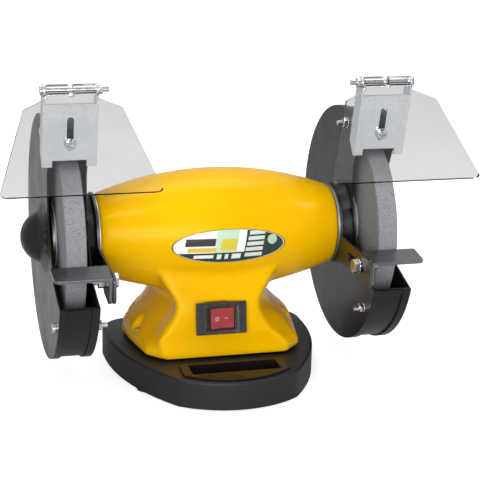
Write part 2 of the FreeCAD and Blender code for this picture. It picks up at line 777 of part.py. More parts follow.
# oval badge, bent round the barrel
badge_gap = -0.05
badge_skin = cut("badge_skin", turned("badge_outer", barrel_profile(-d.badge_gauge)),
    turned("badge_inner", barrel_profile(badge_gap)))
badge_stamp = doc.addObject("Part::Ellipse", "badge_ellipse")
bind(badge_stamp, MajorRadius=d.badge_half_x, MinorRadius=d.badge_half_z)
place(badge_stamp, d.badge_shift, -60, -1, X_AXIS, 90)
badge_block = doc.addObject("Part::Extrusion", "badge_block")
badge_block.Base = badge_stamp
badge_block.DirMode = "Custom"
badge_block.Dir = Y_AXIS
badge_block.LengthFwd = 40
badge_block.Solid = True
keep(on_shaft(common("badge", badge_skin, badge_block)), "badge_plate")

# ---- switch

bezel_face = panel_block("bezel_face", d.bezel_half_x, d.bezel_half_z, -d.bezel_gauge, 0.0)
bezel_collar = panel_block("bezel_collar", 13.4, 10.9, -1.0, 9.0)
bezel_window = panel_block("bezel_window", 10.7, 8.9, -8.0, 10.0)
keep(on_shaft(cut("bezel", fused("bezel_blank", bezel_face, bezel_collar), bezel_window)), "switch_bezel")

cover_blank = panel_block("cover_blank", 13.2, 10.9, -7.2, -2.2)
cover_hollow = panel_block("cover_hollow", 12.2, 9.9, -6.2, -2.2)
keep(on_shaft(cut("cover", cover_blank, cover_hollow)), "switch_cover")

switch_box = panel_block("switch_box", 12.5, 9.8, 9.1, 27.0)
terminals = [panel_block(f"terminal_{index}", 0.4, 3.1, 26.5, 34.0) for index in range(3)]
for index, terminal in enumerate(terminals):
    on_panel(terminal, 26.5, (index - 1) * 7.0 - 0.4, -3.1)
keep(on_shaft(fused("switch_body", switch_box, *terminals)), "switch_body")

rocker_pivot = 2.5
rocker_off = 7.0
rocker = new_body("rocker")
pad(rocker, outline(new_sketch(rocker), [
    (-9.6, -5.7), (0.0, -4.1), (9.6, -5.7), (9.6, -1.0), (3.0, 2.5), (-3.0, 2.5), (-9.6, -1.0)]),
    d.rocker_half * 2,
    symmetric=True)
rocker_turn = Rotation(X_AXIS, -d.panel_tilt.value).multiply(Rotation(Z_AXIS, rocker_off))
rocker.Placement = Placement(Vector(
    d.switch_shift.value,
    -d.switch_front.value + rocker_pivot * math.cos(math.radians(d.panel_tilt.value)),
    d.shaft_height.value - d.switch_drop.value - rocker_pivot * math.sin(math.radians(d.panel_tilt.value))),
    rocker_turn)
for axis_name, size in (("x", d.switch_shift), ("y",
    rocker_pivot * cosine(d.panel_tilt) - d.switch_front),
                        ("z", d.shaft_height - d.switch_drop - rocker_pivot * sine(d.panel_tilt))):
    rocker.setExpression(f"Placement.Base.{axis_name}", size.words)
keep(rocker, "switch_rocker")

# ---- wiring pieces in the pedestal

capacitor_z = foot_bottom + d.capacitor_radius + 3
capacitor_can = cylinder("capacitor_can", d.capacitor_radius, 50, -25, 14, capacitor_z, X_AXIS)
capacitor_lid = cylinder("capacitor_lid", d.capacitor_radius - 1.5, 3, 25, 14, capacitor_z, X_AXIS)
keep(on_shaft(fused("capacitor", capacitor_can, capacitor_lid)), "capacitor")

gland_tube = cylinder("gland_tube", 5.9, 18, 0, 40, gland_z, Y_AXIS)
gland_nut = hexagon("gland_nut", d.gland_flats, 4, 0, 40.4, gland_z, Y_AXIS)
gland_body = hexagon("gland_body", d.gland_flats, 6, 0, 49.1, gland_z, Y_AXIS)
gland_dome = cylinder("gland_dome", 7.2, 10, 0, 54, gland_z, Y_AXIS)
gland_bore = cylinder("gland_bore", 3.2, 40, 0, 35, gland_z, Y_AXIS)
keep(on_shaft(cut("gland", fused("gland_blank", gland_tube, gland_nut, gland_body, gland_dome),
    gland_bore)),
     "cable_gland")

# ---- motor

stator = new_body("stator_core")
stator_ring = new_sketch(stator, "YZ_Plane")
circle(stator_ring, 0, 0, d.stator_radius)
circle(stator_ring, 0, 0, d.rotor_radius + d.air_gap)
pad(stator, stator_ring, d.stator_half * 2, symmetric=True)
keep(on_shaft(stator), "stator_core")

coil_end = d.stator_half + d.winding_length
coils = turned("coil", [
    (d.stator_half, d.rotor_radius + 3), (coil_end - 3, d.rotor_radius + 4),
    (coil_end, d.rotor_radius + 8),
    (coil_end, d.stator_radius - 11), (coil_end - 3, d.stator_radius - 7),
    (d.stator_half, d.stator_radius - 5)])
keep(on_shaft(group("windings", [coils, mirrored(coils, "coil_left")])), "stator_windings")

shaft_seat = 8.0
rotor = new_body("rotor_core")
rotor_ring = new_sketch(rotor, "YZ_Plane")
circle(rotor_ring, 0, 0, d.rotor_radius)
circle(rotor_ring, 0, 0, shaft_seat)
pad(rotor, rotor_ring, d.rotor_half * 2, symmetric=True)
keep(on_shaft(rotor), "rotor_core")

bearing_in = barrel_inner_end
bearing_out = barrel_inner_end + d.bearing_width
wheel_in = d.wheel_centre - d.wheel_width / 2
wheel_out = d.wheel_centre + d.wheel_width / 2
flange_face = wheel_in - d.blotter_gauge - d.flange_width
nut_face = wheel_out + d.blotter_gauge + d.flange_width
spindle_end = nut_face + d.nut_width + 2.5
spindle_half = [(0, shaft_seat), (bearing_in, shaft_seat), (bearing_in, d.bearing_bore),
    (flange_face, d.bearing_bore),
                (flange_face, d.spindle_radius), (spindle_end - 1, d.spindle_radius),
                (spindle_end, d.spindle_radius - 1), (spindle_end, 0)]
spindle_other = [(-x, radius) for x, radius in reversed(spindle_half[1:])]
keep(on_shaft(turned("spindle", spindle_other + spindle_half[1:])), "spindle")

# ---- bearings

race = d.ball_radius + 0.05
bearing_middle = bearing_in + d.bearing_width / 2
inner_land = d.ball_circle - 1.5
outer_land = d.ball_circle + 1.5
race_half = root(race * race - 1.5 * 1.5)
inner_ring = turned("inner_ring", [
    (bearing_in, d.bearing_bore), (bearing_out, d.bearing_bore), (bearing_out, inner_land),
    (bearing_middle + race_half, inner_land, -race), (bearing_middle - race_half, inner_land),
    (bearing_in, inner_land)])
outer_ring = turned("outer_ring", [
    (bearing_in, d.bearing_radius), (bearing_in, outer_land),
    (bearing_middle - race_half, outer_land, -race),
    (bearing_middle + race_half, outer_land), (bearing_out, outer_land), (bearing_out, d.bearing_radius)])
both_sides(on_shaft(inner_ring), "bearing_inner_ring")
both_sides(on_shaft(outer_ring), "bearing_outer_ring")
balls = []
for end_sign in (-1, 1):
    for index, (y, z) in enumerate(round_the_shaft(d.ball_circle, 0, 8)):
        ball = doc.addObject("Part::Sphere", f"ball_{index}_{end_sign > 0}")
        bind(ball, Radius=d.ball_radius)
        balls.append(place(ball, bearing_middle * end_sign, y, z))
keep(on_shaft(group("balls", balls)), "bearing_balls")

# ---- end shields

shield_face = d.barrel_half + d.shield_flange
arm_face = shield_face + d.arm_gauge
guard_seat = arm_face + d.guard_gauge
spigot = d.spigot_radius - 0.05
end_shield = turned("end_shield", [
    (bearing_in, d.bearing_radius), (bearing_in, spigot), (d.barrel_half, spigot),
    (d.barrel_half, d.arm_disc - 2),
    (shield_face, d.arm_disc - 2), (shield_face, d.pilot_radius), (guard_seat + 1, d.pilot_radius),
    (guard_seat + 1, d.bearing_bore + 0.6), (bearing_out, d.bearing_bore + 0.6),
    (bearing_out, d.bearing_radius)])
shield_bores = new_sketch(end_shield, "YZ_Plane", bearing_in - 1)
for y, z in round_the_shaft(d.screw_circle, 90, 3):
    circle(shield_bores, y, z, 2.6)
pocket(end_shield, shield_bores, 40, reverse=True)
both_sides(on_shaft(end_shield), "end_shield")

# ---- rest arm

arm = new_body("rest_arm")
arm_touch_top = root(d.arm_disc * d.arm_disc - d.arm_top * d.arm_top)
arm_touch_low = root(d.arm_disc * d.arm_disc - d.arm_low * d.arm_low)
arm_nose = 6.0
pad(arm, outline(new_sketch(arm, "YZ_Plane", shield_face), [
    (-arm_touch_low, d.arm_low, d.arm_disc), (0, -d.arm_disc, d.arm_disc), (d.arm_disc, 0, d.arm_disc),
    (0, d.arm_disc, d.arm_disc), (-arm_touch_top, d.arm_top),
    (-d.arm_reach + arm_nose, d.arm_top, arm_nose),
    (-d.arm_reach, d.arm_top - arm_nose), (-d.arm_reach, d.arm_low + arm_nose, arm_nose),
    (-d.arm_reach + arm_nose, d.arm_low)]), d.arm_gauge)
arm_bores = new_sketch(arm, "YZ_Plane", shield_face)
circle(arm_bores, 0, 0, d.pilot_radius + 0.1)
for y, z in round_the_shaft(d.screw_circle, 90, 3):
    circle(arm_bores, y, z, 2.6)
pocket(arm, arm_bores, 20, symmetric=True)
rest_slot_half = d.rest_bolt_radius + 0.15
arm_slot = new_sketch(arm, "YZ_Plane", shield_face)
outline(arm_slot, [
    (-d.rest_slot_back - rest_slot_half, d.rest_bolt_z + rest_slot_half),
    (-d.rest_slot_front + rest_slot_half, d.rest_bolt_z + rest_slot_half, rest_slot_half),
    (-d.rest_slot_front, d.rest_bolt_z, rest_slot_half),
    (-d.rest_slot_front + rest_slot_half, d.rest_bolt_z - rest_slot_half),
    (-d.rest_slot_back - rest_slot_half, d.rest_bolt_z - rest_slot_half, rest_slot_half),
    (-d.rest_slot_back, d.rest_bolt_z, rest_slot_half)])
pocket(arm, arm_slot, 20, symmetric=True)
both_sides(on_shaft(arm), "rest_arm")

# ---- guard

guard_in = d.wheel_centre - d.guard_half
guard_out = d.wheel_centre + d.guard_half
band_outer = d.guard_radius - d.guard_gauge - d.rim_play
band_inner = band_outer - d.guard_gauge


def opening_outline():
    # the front of the guard that is cut away, seen from the right
    far = d.guard_radius + 40
    low_slope = (d.opening_low - d.opening_heel_low) / 60
    return [
        (-d.opening_heel, -d.opening_heel_low), (-d.opening_back, d.opening_knee),
        (-d.opening_back, d.opening_top),
        (-d.opening_back - 40, d.opening_top + 78), (-far, d.opening_top + 78),
        (-far, -d.opening_heel_low - low_slope * (far - d.opening_heel))]


def opened(body):
    feature = pocket(body, outline(new_sketch(body, "YZ_Plane", guard_in - 20), opening_outline()), 80,
        reverse=True)
    return feature


def guard_screw_bores(body):
    bores = new_sketch(body, "YZ_Plane", guard_in - 20)
    for y, z in round_the_shaft(d.guard_screw_circle, d.guard_screw_angle, 3):
        circle(bores, y, z, 2.15)
    pocket(body, bores, 80, reverse=True)


inner_plate = turned("guard_inner", [
    (arm_face, d.pilot_radius + 0.1), (guard_seat, d.pilot_radius + 0.1),
    (guard_seat, d.dish_radius - 1.0),
    (guard_in + d.guard_gauge, d.dish_radius + 3.0),
    (guard_in + d.guard_gauge, d.guard_radius - d.guard_gauge),
    (guard_in + d.rim_width, d.guard_radius - d.guard_gauge), (guard_in + d.rim_width, d.guard_radius),
    (guard_in, d.guard_radius), (guard_in, d.dish_radius + 3.6), (arm_face, d.dish_radius - 0.4)])
opened(inner_plate)
guard_screw_bores(inner_plate)
mount_bores = new_sketch(inner_plate, "YZ_Plane", guard_in - 20)
for y, z in round_the_shaft(d.screw_circle, 90, 3):
    circle(mount_bores, y, z, 2.6)
pocket(inner_plate, mount_bores, 80, reverse=True)
both_sides(on_shaft(inner_plate), "guard_inner")

dome_arc = (d.hub_radius * d.hub_radius + d.hub_rise * d.hub_rise) / (d.hub_rise * 2)
cone_face = guard_out + d.cone_rise
gauge = d.guard_gauge
outer_plate = turned("guard_cover", [
    (cone_face + d.hub_rise - gauge, 0), (cone_face + d.hub_rise, 0, dome_arc),
    (cone_face, d.hub_radius), (cone_face - 0.8, d.hub_radius + 1.5), (guard_out, d.dish_radius),
    (guard_out, d.guard_radius), (guard_out - d.rim_width, d.guard_radius),
    (guard_out - d.rim_width, d.guard_radius - gauge), (guard_out - gauge, d.guard_radius - gauge),
    (guard_out - gauge, d.dish_radius - 0.5), (cone_face - 0.8 - gauge, d.hub_radius + 1.0),
    (cone_face - 0.4, d.hub_radius - gauge, -1 * (dome_arc - gauge))])
opened(outer_plate)
guard_screw_bores(outer_plate)
both_sides(on_shaft(outer_plate), "guard_cover")

band = turned("guard_band_ring", [
    (guard_in + gauge + 0.15, band_inner), (guard_out - gauge - 0.15, band_inner),
    (guard_out - gauge - 0.15, band_outer), (guard_in + gauge + 0.15, band_outer)])
opened(band)
lip_start = 17.6
lip_end = 31.0
lip_half = d.guard_half - d.rim_width - 0.4


def on_bracket(item, across=0.0, back=0.0, up=0.0):
    # seats a piece on the bracket: across it, behind its front face and up it
    y = d.bracket_foot_y - up * sine(d.bracket_lean) + back * cosine(d.bracket_lean)
    z = d.bracket_foot_z + up * cosine(d.bracket_lean) + back * sine(d.bracket_lean)
    return place(item, d.wheel_centre + across, y, z, X_AXIS, d.bracket_lean)


lip = doc.addObject("Part::Box", "guard_lip")
bind(lip, Length=lip_half * 2, Width=gauge, Height=lip_end - lip_start)
on_bracket(lip, -lip_half, d.bracket_gauge, lip_start)
strap = doc.addObject("Part::Box", "guard_strap")
bind(strap, Length=lip_half * 2, Width=10, Height=gauge)
on_bracket(strap, -lip_half, d.bracket_gauge, lip_start)
lip_bore = doc.addObject("Part::Cylinder", "lip_bore")
bind(lip_bore, Radius=2.1, Height=30)


def across_bracket(item, back, up):
    # a round piece square to the bracket's face, pointing forward
    y = d.bracket_foot_y - up * sine(d.bracket_lean) + back * cosine(d.bracket_lean)
    z = d.bracket_foot_z + up * cosine(d.bracket_lean) + back * sine(d.bracket_lean)
    return place(item, d.wheel_centre, y, z, X_AXIS, d.bracket_lean + 90)


across_bracket(lip_bore, 15, d.bracket_screw_up)
box_lip = doc.addObject("Part::Box", "box_lip")
bind(box_lip, Length=lip_half * 2, Width=gauge + d.rim_play * 2, Height=d.box_lip_height)
lip_seat = band_outer - d.rim_play * 2
place(box_lip, d.wheel_centre - lip_half, -1 * (lip_seat * cosine(d.box_lip_angle)),
      -1 * (lip_seat * sine(d.box_lip_angle)), X_AXIS, d.box_lip_angle + 180)
both_sides(on_shaft(cut("guard_band", fused("band_and_lip", band, lip, strap, box_lip), lip_bore)),
    "guard_band")

guard_screws = []
for index, (y, z) in enumerate(round_the_shaft(d.guard_screw_circle, d.guard_screw_angle, 3)):
    shank = cylinder(f"guard_shank_{index}", 2, guard_out - guard_in + 8.5, guard_in - 8.5, y, z, X_AXIS)
    head = cylinder(f"guard_head_{index}", 4, 2.6, guard_out, y, z, X_AXIS)
    recess_a = block(f"guard_recess_a_{index}", guard_out + 1.5, y - 0.5, z - 2.3, 2, 1, 4.6)
    recess_b = block(f"guard_recess_b_{index}", guard_out + 1.5, y - 2.3, z - 0.5, 2, 4.6, 1)
    washer = cut(f"guard_washer_{index}", cylinder(f"guard_washer_disc_{index}", 4.5, 0.8,
        guard_in - 0.8, y, z, X_AXIS),
                 cylinder(f"guard_washer_bore_{index}", 2, 3, guard_in - 2, y, z, X_AXIS))
    nut = cut(f"guard_nut_{index}", hexagon(f"guard_nut_hex_{index}", d.small_nut, 3.2, guard_in - 4, y,
        z),
              cylinder(f"guard_nut_bore_{index}", 2, 6, guard_in - 6, y, z, X_AXIS))
    screw = cut(f"guard_screw_{index}", fused(f"guard_screw_blank_{index}", shank, head), recess_a,
        recess_b)
    guard_screws.extend([screw, washer, nut])
both_sides(on_shaft(group("guard_screws", guard_screws)), "guard_screws")

mount_screws = []
for index, (y, z) in enumerate(round_the_shaft(d.screw_circle, 90, 3)):
    shank = cylinder(f"mount_shank_{index}", 2, guard_seat - barrel_inner_end + 10,
        barrel_inner_end - 10, y, z, X_AXIS)
    head = cylinder(f"mount_head_{index}", 4, 2.6, guard_seat, y, z, X_AXIS)
    mount_screws.append(fused(f"mount_screw_{index}", shank, head))
right_mounts = group("mount_screws_right", mount_screws)
keep(on_shaft(group("mount_screws", [right_mounts, mirrored(right_mounts, "mount_screws_left")])),
    "guard_mount_screws")

# ---- wheel set

bush_play = 0.02
wheel = turned("grinding_wheel", [
    (wheel_in, d.bush_radius), (wheel_out, d.bush_radius), (wheel_out, d.wheel_radius - 0.8),
    (wheel_out - 0.8, d.wheel_radius), (wheel_in + 0.8, d.wheel_radius),
    (wheel_in, d.wheel_radius - 0.8)])
both_sides(on_shaft(wheel), "grinding_wheel")
bush = turned("wheel_bush", [
    (wheel_in, d.spindle_radius + bush_play), (wheel_out, d.spindle_radius + bush_play),
    (wheel_out, d.bush_radius), (wheel_in, d.bush_radius)])
both_sides(on_shaft(bush), "wheel_bush")
blotters = []
for index, start in enumerate((wheel_in - d.blotter_gauge, wheel_out)):
    blotters.append(cut(f"blotter_{index}",
                        cylinder(f"blotter_disc_{index}", d.blotter_radius, d.blotter_gauge, start, 0,
                        0, X_AXIS),
                        cylinder(f"blotter_bore_{index}", d.spindle_radius + 1, 4, start - 2, 0, 0,
                        X_AXIS)))
both_sides(on_shaft(group("wheel_blotters", blotters)), "wheel_blotters")


def flange_profile(face, back):
    # face bears on the blotter, back is the hub side
    side = 1 if value_of(face) > value_of(back) else -1
    points = [(back, d.spindle_radius + bush_play), (back, 13.0), (face - 2.0 * side, d.flange_radius),
              (face, d.flange_radius), (face, d.flange_radius - 6),
              (face - 0.9 * side, d.flange_radius - 7),
              (face - 0.9 * side, d.spindle_radius + bush_play)]
    return points if side < 0 else list(reversed(points))


both_sides(on_shaft(turned("inner_flange", flange_profile(wheel_in - d.blotter_gauge, flange_face))),
    "inner_flange")
both_sides(on_shaft(turned("outer_flange", flange_profile(wheel_out + d.blotter_gauge, nut_face))),
    "outer_flange")
nut = cut("spindle_nut", hexagon("spindle_nut_hex", d.nut_flats, d.nut_width, nut_face, 0, 0),
          cylinder("spindle_nut_bore", d.spindle_radius + bush_play, 20, nut_face - 5, 0, 0, X_AXIS))
keep(on_shaft(group("spindle_nuts", [nut, mirrored(nut, "spindle_nut_left")])), "spindle_nuts")

# ---- spark bracket

bracket = new_body("bracket_plate")
plate_sketch = new_sketch(bracket, "XZ_Plane")
half = d.bracket_half
outline(plate_sketch, [
    (-half, 0), (-d.notch_half, 0), (-d.notch_half, d.notch_height), (d.notch_half, d.notch_height),
    (d.notch_half, 0), (half, 0), (half, d.bracket_length), (-half, d.bracket_length)])
pad(bracket, plate_sketch, d.bracket_gauge, reverse=True)
slot_sketch = new_sketch(bracket, "XZ_Plane")
slot_outline(slot_sketch, no_inset, d.slot_low, d.slot_high, d.slot_half)
pocket(bracket, slot_sketch, 20, symmetric=True)
ears = []
for ear_sign in (-1, 1):
    ear = new_body(f"bracket_ear_{ear_sign > 0}")
    start = half - d.bracket_gauge if ear_sign > 0 else -half
    ear_top = d.hinge_up + d.ear_radius
    pad(ear, outline(new_sketch(ear, "YZ_Plane", start), [
        (0, 0), (d.bracket_gauge, 0), (d.bracket_depth, 8), (d.bracket_depth, d.bracket_length),
        (d.hinge_back + d.ear_radius, d.hinge_up, d.ear_radius), (d.hinge_back, ear_top, d.ear_radius),
        (d.hinge_back - d.ear_radius, d.hinge_up), (0, d.bracket_length)]), d.bracket_gauge)
    bore = new_sketch(ear, "YZ_Plane", start)
    circle(bore, d.hinge_back, d.hinge_up, d.hinge_bolt + d.hinge_play)
    pocket(ear, bore, 20, symmetric=True)
    ears.append(ear)
bracket_blank = fused("bracket_blank", bracket, *ears)
on_bracket(bracket_blank)
both_sides(on_shaft(group("spark_bracket", [bracket_blank])), "spark_bracket")

screw_up = d.bracket_screw_up
bracket_head = doc.addObject("Part::Cylinder", "bracket_head")
bind(bracket_head, Radius=d.small_shank * 2, Height=2.8)
across_bracket(bracket_head, -1.1, screw_up)
bracket_shank = doc.addObject("Part::Cylinder", "bracket_shank")
bind(bracket_shank, Radius=d.small_shank, Height=11)
across_bracket(bracket_shank, 9.5, screw_up)
washer_disc = doc.addObject("Part::Cylinder", "bracket_washer_disc")
bind(washer_disc, Radius=d.small_shank * 2 + 0.6, Height=1.0)
across_bracket(washer_disc, -0.1, screw_up)
washer_bore = doc.addObject("Part::Cylinder", "bracket_washer_bore")
bind(washer_bore, Radius=d.small_shank, Height=9)
across_bracket(washer_bore, 3, screw_up)
cross_a = doc.addObject("Part::Box", "bracket_cross_a")
bind(cross_a, Length=5, Width=2, Height=1)
on_bracket(cross_a, -2.5, -4.6, screw_up - 0.5)
cross_b = doc.addObject("Part::Box", "bracket_cross_b")
bind(cross_b, Length=1, Width=2, Height=5)
on_bracket(cross_b, -0.5, -4.6, screw_up - 2.5)
bracket_screw = cut("bracket_screw_blank", fused("bracket_screw_raw", bracket_head, bracket_shank),
    cross_a, cross_b)
bracket_washer = cut("bracket_washer", washer_disc, washer_bore)
both_sides(on_shaft(group("bracket_screw", [bracket_screw, bracket_washer])), "bracket_screw")

hinge_y = d.bracket_foot_y - d.hinge_up * sine(d.bracket_lean) + d.hinge_back * cosine(d.bracket_lean)
hinge_z = d.bracket_foot_z + d.hinge_up * cosine(d.bracket_lean) + d.hinge_back * sine(d.bracket_lean)
ear_out = d.wheel_centre + d.bracket_half
ear_in = d.wheel_centre - d.bracket_half
hinge_shank = cylinder("hinge_shank", d.hinge_bolt, d.bracket_half * 2 + 8, ear_in - 8, hinge_y,
    hinge_z, X_AXIS)
hinge_head = cylinder("hinge_head", d.hinge_bolt * 1.8, 1.8, ear_out, hinge_y, hinge_z, X_AXIS)
hinge_washer = cut("hinge_washer", cylinder("hinge_washer_disc", d.hinge_bolt * 2.1, 0.8, ear_in - 0.8,
    hinge_y, hinge_z, X_AXIS),
                   cylinder("hinge_washer_bore", d.hinge_bolt, 4, ear_in - 3, hinge_y, hinge_z, X_AXIS))
hinge_nut = cut("hinge_nut", hexagon("hinge_nut_hex", d.small_nut, 2.4, ear_in - 3.2, hinge_y, hinge_z),
                cylinder("hinge_nut_bore", d.hinge_bolt, 8, ear_in - 7, hinge_y, hinge_z, X_AXIS))
both_sides(on_shaft(group("hinge_bolt", [fused("hinge_bolt_blank", hinge_shank, hinge_head),
    hinge_washer, hinge_nut])),
           "hinge_bolt")

# ---- eye shield

knuckle_left = cylinder("knuckle_a", d.knuckle_radius, d.knuckle_half - d.knuckle_gap,
    d.wheel_centre - d.knuckle_half,
                        hinge_y, hinge_z, X_AXIS)
knuckle_right = cylinder("knuckle_b", d.knuckle_radius, d.knuckle_half - d.knuckle_gap,
    d.wheel_centre + d.knuckle_gap,
                         hinge_y, hinge_z, X_AXIS)
bend_y = hinge_y - d.neck_length * sine(d.neck_slope)
bend_z = hinge_z - d.neck_length * cosine(d.neck_slope)
edge_y = bend_y - d.leaf_length * sine(d.leaf_slope)
edge_z = bend_z - d.leaf_length * cosine(d.leaf_slope)
fold = (d.neck_slope + d.leaf_slope) / 2
mitre = d.shield_gauge / cosine((d.neck_slope - d.leaf_slope) / 2)
bent_sheet = new_body("bent_sheet")
pad(bent_sheet, outline(new_sketch(bent_sheet, "YZ_Plane", d.wheel_centre - d.leaf_half - 1), [
    (hinge_y, hinge_z), (hinge_y - d.shield_gauge * cosine(d.neck_slope),
    hinge_z + d.shield_gauge * sine(d.neck_slope)),
    (bend_y - mitre * cosine(fold), bend_z + mitre * sine(fold)),
    (edge_y - d.shield_gauge * cosine(d.leaf_slope), edge_z + d.shield_gauge * sine(d.leaf_slope)),
    (edge_y, edge_z), (bend_y, bend_z)]), d.leaf_half * 2 + 2)
sheet_outline = new_body("sheet_outline")
middle = d.wheel_centre
shoulder_z = hinge_z - d.ear_clear * cosine(d.neck_slope)
top_z = hinge_z + d.shield_gauge + 1
low_z = edge_z - 1
pad(sheet_outline, outline(new_sketch(sheet_outline, "XZ_Plane"), [
    (middle - d.knuckle_half, top_z), (middle - d.knuckle_half, shoulder_z),
    (middle - d.neck_half, bend_z),
    (middle - d.leaf_half, edge_z), (middle - d.leaf_half, low_z), (middle + d.leaf_half, low_z),
    (middle + d.leaf_half, edge_z), (middle + d.neck_half, bend_z), (middle + d.knuckle_half, shoulder_z),
    (middle + d.knuckle_half, top_z)]), 200)
corner_front = edge_y - 20
corners = []
for corner_sign in (-1, 1):
    corner_x = middle + (d.leaf_half - d.leaf_corner) * corner_sign
    square_x = corner_x if corner_sign > 0 else corner_x - d.leaf_corner - 1
    square = doc.addObject("Part::Box", f"corner_square_{corner_sign > 0}")
    bind(square, Length=d.leaf_corner + 1, Width=50, Height=d.leaf_corner + 2)
    place(square, square_x, corner_front, edge_z - 2)
    disc = cylinder(f"corner_disc_{corner_sign > 0}", d.leaf_corner, 60, corner_x, corner_front - 5,
                    edge_z + d.leaf_corner, Y_AXIS)
    corners.append(cut(f"corner_{corner_sign > 0}", square, disc))
gap_block = new_body("knuckle_gap_block")
gap_half = d.knuckle_gap
pad(gap_block, outline(new_sketch(gap_block, "XZ_Plane"), [
    (-gap_half, -7), (gap_half, -7), (gap_half, 6), (-gap_half, 6)]), 12, symmetric=True)
place(gap_block, d.wheel_centre, hinge_y, hinge_z, X_AXIS, -d.neck_slope)
shield_bore = cylinder("shield_bore", d.hinge_bolt + d.hinge_play, 60, d.wheel_centre - 30, hinge_y,
    hinge_z, X_AXIS)
shield_sheet = common("shield_sheet", bent_sheet, sheet_outline)
both_sides(on_shaft(cut("eye_shield", fused("shield_blank", knuckle_left, knuckle_right, shield_sheet),
                        shield_bore, gap_block, *corners)), "eye_shield")

# ---- tool rest

rest_play = 0.1
leg_in = arm_face + rest_play
leg_out = leg_in + d.rest_gauge
table = new_body("rest_table")
pad(table, outline(new_sketch(table, "XY_Plane", d.rest_rise), [
    (leg_in, -d.rest_front), (d.rest_outer - d.rest_corner, -d.rest_front, d.rest_corner),
    (d.rest_outer, -d.rest_front + d.rest_corner), (d.rest_outer, d.rest_back - 2, 2),
    (d.rest_outer - 2, d.rest_back), (leg_in, d.rest_back)]), d.rest_gauge, reverse=True)
leg = new_body("rest_leg")
pad(leg, outline(new_sketch(leg, "YZ_Plane", leg_in), [
    (-d.rest_front, d.rest_rise - d.rest_gauge / 2), (-d.rest_front, -d.leg_drop + 4),
    (-d.rest_front + 4, -d.leg_drop), (d.leg_back - 6, -d.leg_drop), (d.leg_back, -d.leg_drop + 6),
    (d.leg_back, d.rest_rise - 8), (d.rest_back, d.rest_rise - d.rest_gauge / 2)]), d.rest_gauge)
leg_bore = new_sketch(leg, "YZ_Plane", leg_in)
circle(leg_bore, 0, 0, d.rest_bolt_radius + 0.06)
pocket(leg, leg_bore, 20, symmetric=True)
rest = fused("tool_rest", table, leg)
place(rest, 0, d.rest_bolt_y, d.rest_bolt_z + d.shaft_height, X_AXIS, d.rest_tilt)
both_sides(rest, "tool_rest")

bolt_y = d.rest_bolt_y
bolt_z = d.rest_bolt_z
rest_shank = cylinder("rest_shank", d.rest_bolt_radius, 19, shield_face - 5, bolt_y, bolt_z, X_AXIS)
rest_head = hexagon("rest_head", d.rest_nut_flats, 4, shield_face - 5.3, bolt_y, bolt_z)
rest_washer = cut("rest_washer", cylinder("rest_washer_disc", 6, 1.2, shield_face - 1.25, bolt_y,
    bolt_z, X_AXIS),
                  cylinder("rest_washer_bore", d.rest_bolt_radius, 4, shield_face - 3, bolt_y, bolt_z,
                  X_AXIS))
rest_nut = cut("rest_nut", hexagon("rest_nut_hex", d.rest_nut_flats, 5, leg_out + 0.1, bolt_y, bolt_z),
               cylinder("rest_nut_bore", d.rest_bolt_radius, 9, leg_out - 1, bolt_y, bolt_z, X_AXIS))
both_sides(on_shaft(group("rest_bolt", [fused("rest_bolt_blank", rest_shank, rest_head), rest_washer,
    rest_nut])),
           "rest_bolt")

# ---- checks and export

doc.recompute()
faults = []
for item in doc.Objects:
    if "Invalid" in item.State or "Error" in item.State:
        faults.append(f"{item.Label}: {item.State}")
for item in nodes:
    if item.Shape.isNull() or not item.Shape.isValid() or not item.Shape.Solids:
        faults.append(f"{item.Label}: bad shape")
if faults:
    raise RuntimeError("; ".join(faults))
if len(nodes) > 60:
    raise RuntimeError(f"{len(nodes)} sub-parts")
os.makedirs("parts", exist_ok=True)
for item in nodes:
    item.Shape.exportStep(f"parts/{item.Label}.step")
print(f"{len(nodes)} sub-parts written")
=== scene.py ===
import json
import math

import bpy
from mathutils import Matrix, Vector

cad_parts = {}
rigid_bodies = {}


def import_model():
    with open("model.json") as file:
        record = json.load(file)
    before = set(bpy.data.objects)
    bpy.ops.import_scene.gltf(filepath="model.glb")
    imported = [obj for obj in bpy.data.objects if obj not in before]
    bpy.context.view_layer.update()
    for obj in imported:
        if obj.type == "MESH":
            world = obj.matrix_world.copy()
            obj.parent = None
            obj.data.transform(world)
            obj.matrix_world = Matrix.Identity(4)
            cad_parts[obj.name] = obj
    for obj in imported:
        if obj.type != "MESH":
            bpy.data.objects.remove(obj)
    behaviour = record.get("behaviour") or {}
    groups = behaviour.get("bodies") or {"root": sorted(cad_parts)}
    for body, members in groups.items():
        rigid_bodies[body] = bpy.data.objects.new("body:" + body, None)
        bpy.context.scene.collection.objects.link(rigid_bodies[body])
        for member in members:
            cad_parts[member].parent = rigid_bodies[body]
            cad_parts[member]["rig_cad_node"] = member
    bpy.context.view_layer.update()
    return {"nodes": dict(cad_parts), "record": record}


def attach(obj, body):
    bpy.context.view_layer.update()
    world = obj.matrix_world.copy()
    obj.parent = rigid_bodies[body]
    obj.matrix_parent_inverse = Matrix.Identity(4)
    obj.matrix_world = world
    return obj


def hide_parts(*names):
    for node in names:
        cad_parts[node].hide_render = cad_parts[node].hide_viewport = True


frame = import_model()
print("frame loaded:", len(frame["nodes"]), "nodes")

scene = bpy.context.scene
scene.view_settings.view_transform = "Standard"

# camera

cameraSettings = {
    "place": (-0.273305, -1.094338, 0.438843),
    "turn": 15.1343,
    "tip": 16.4297,
    "roll": 1.3264,
    "lens": 109.0347,
    "sensor": 36,
    "reach": 20,
}


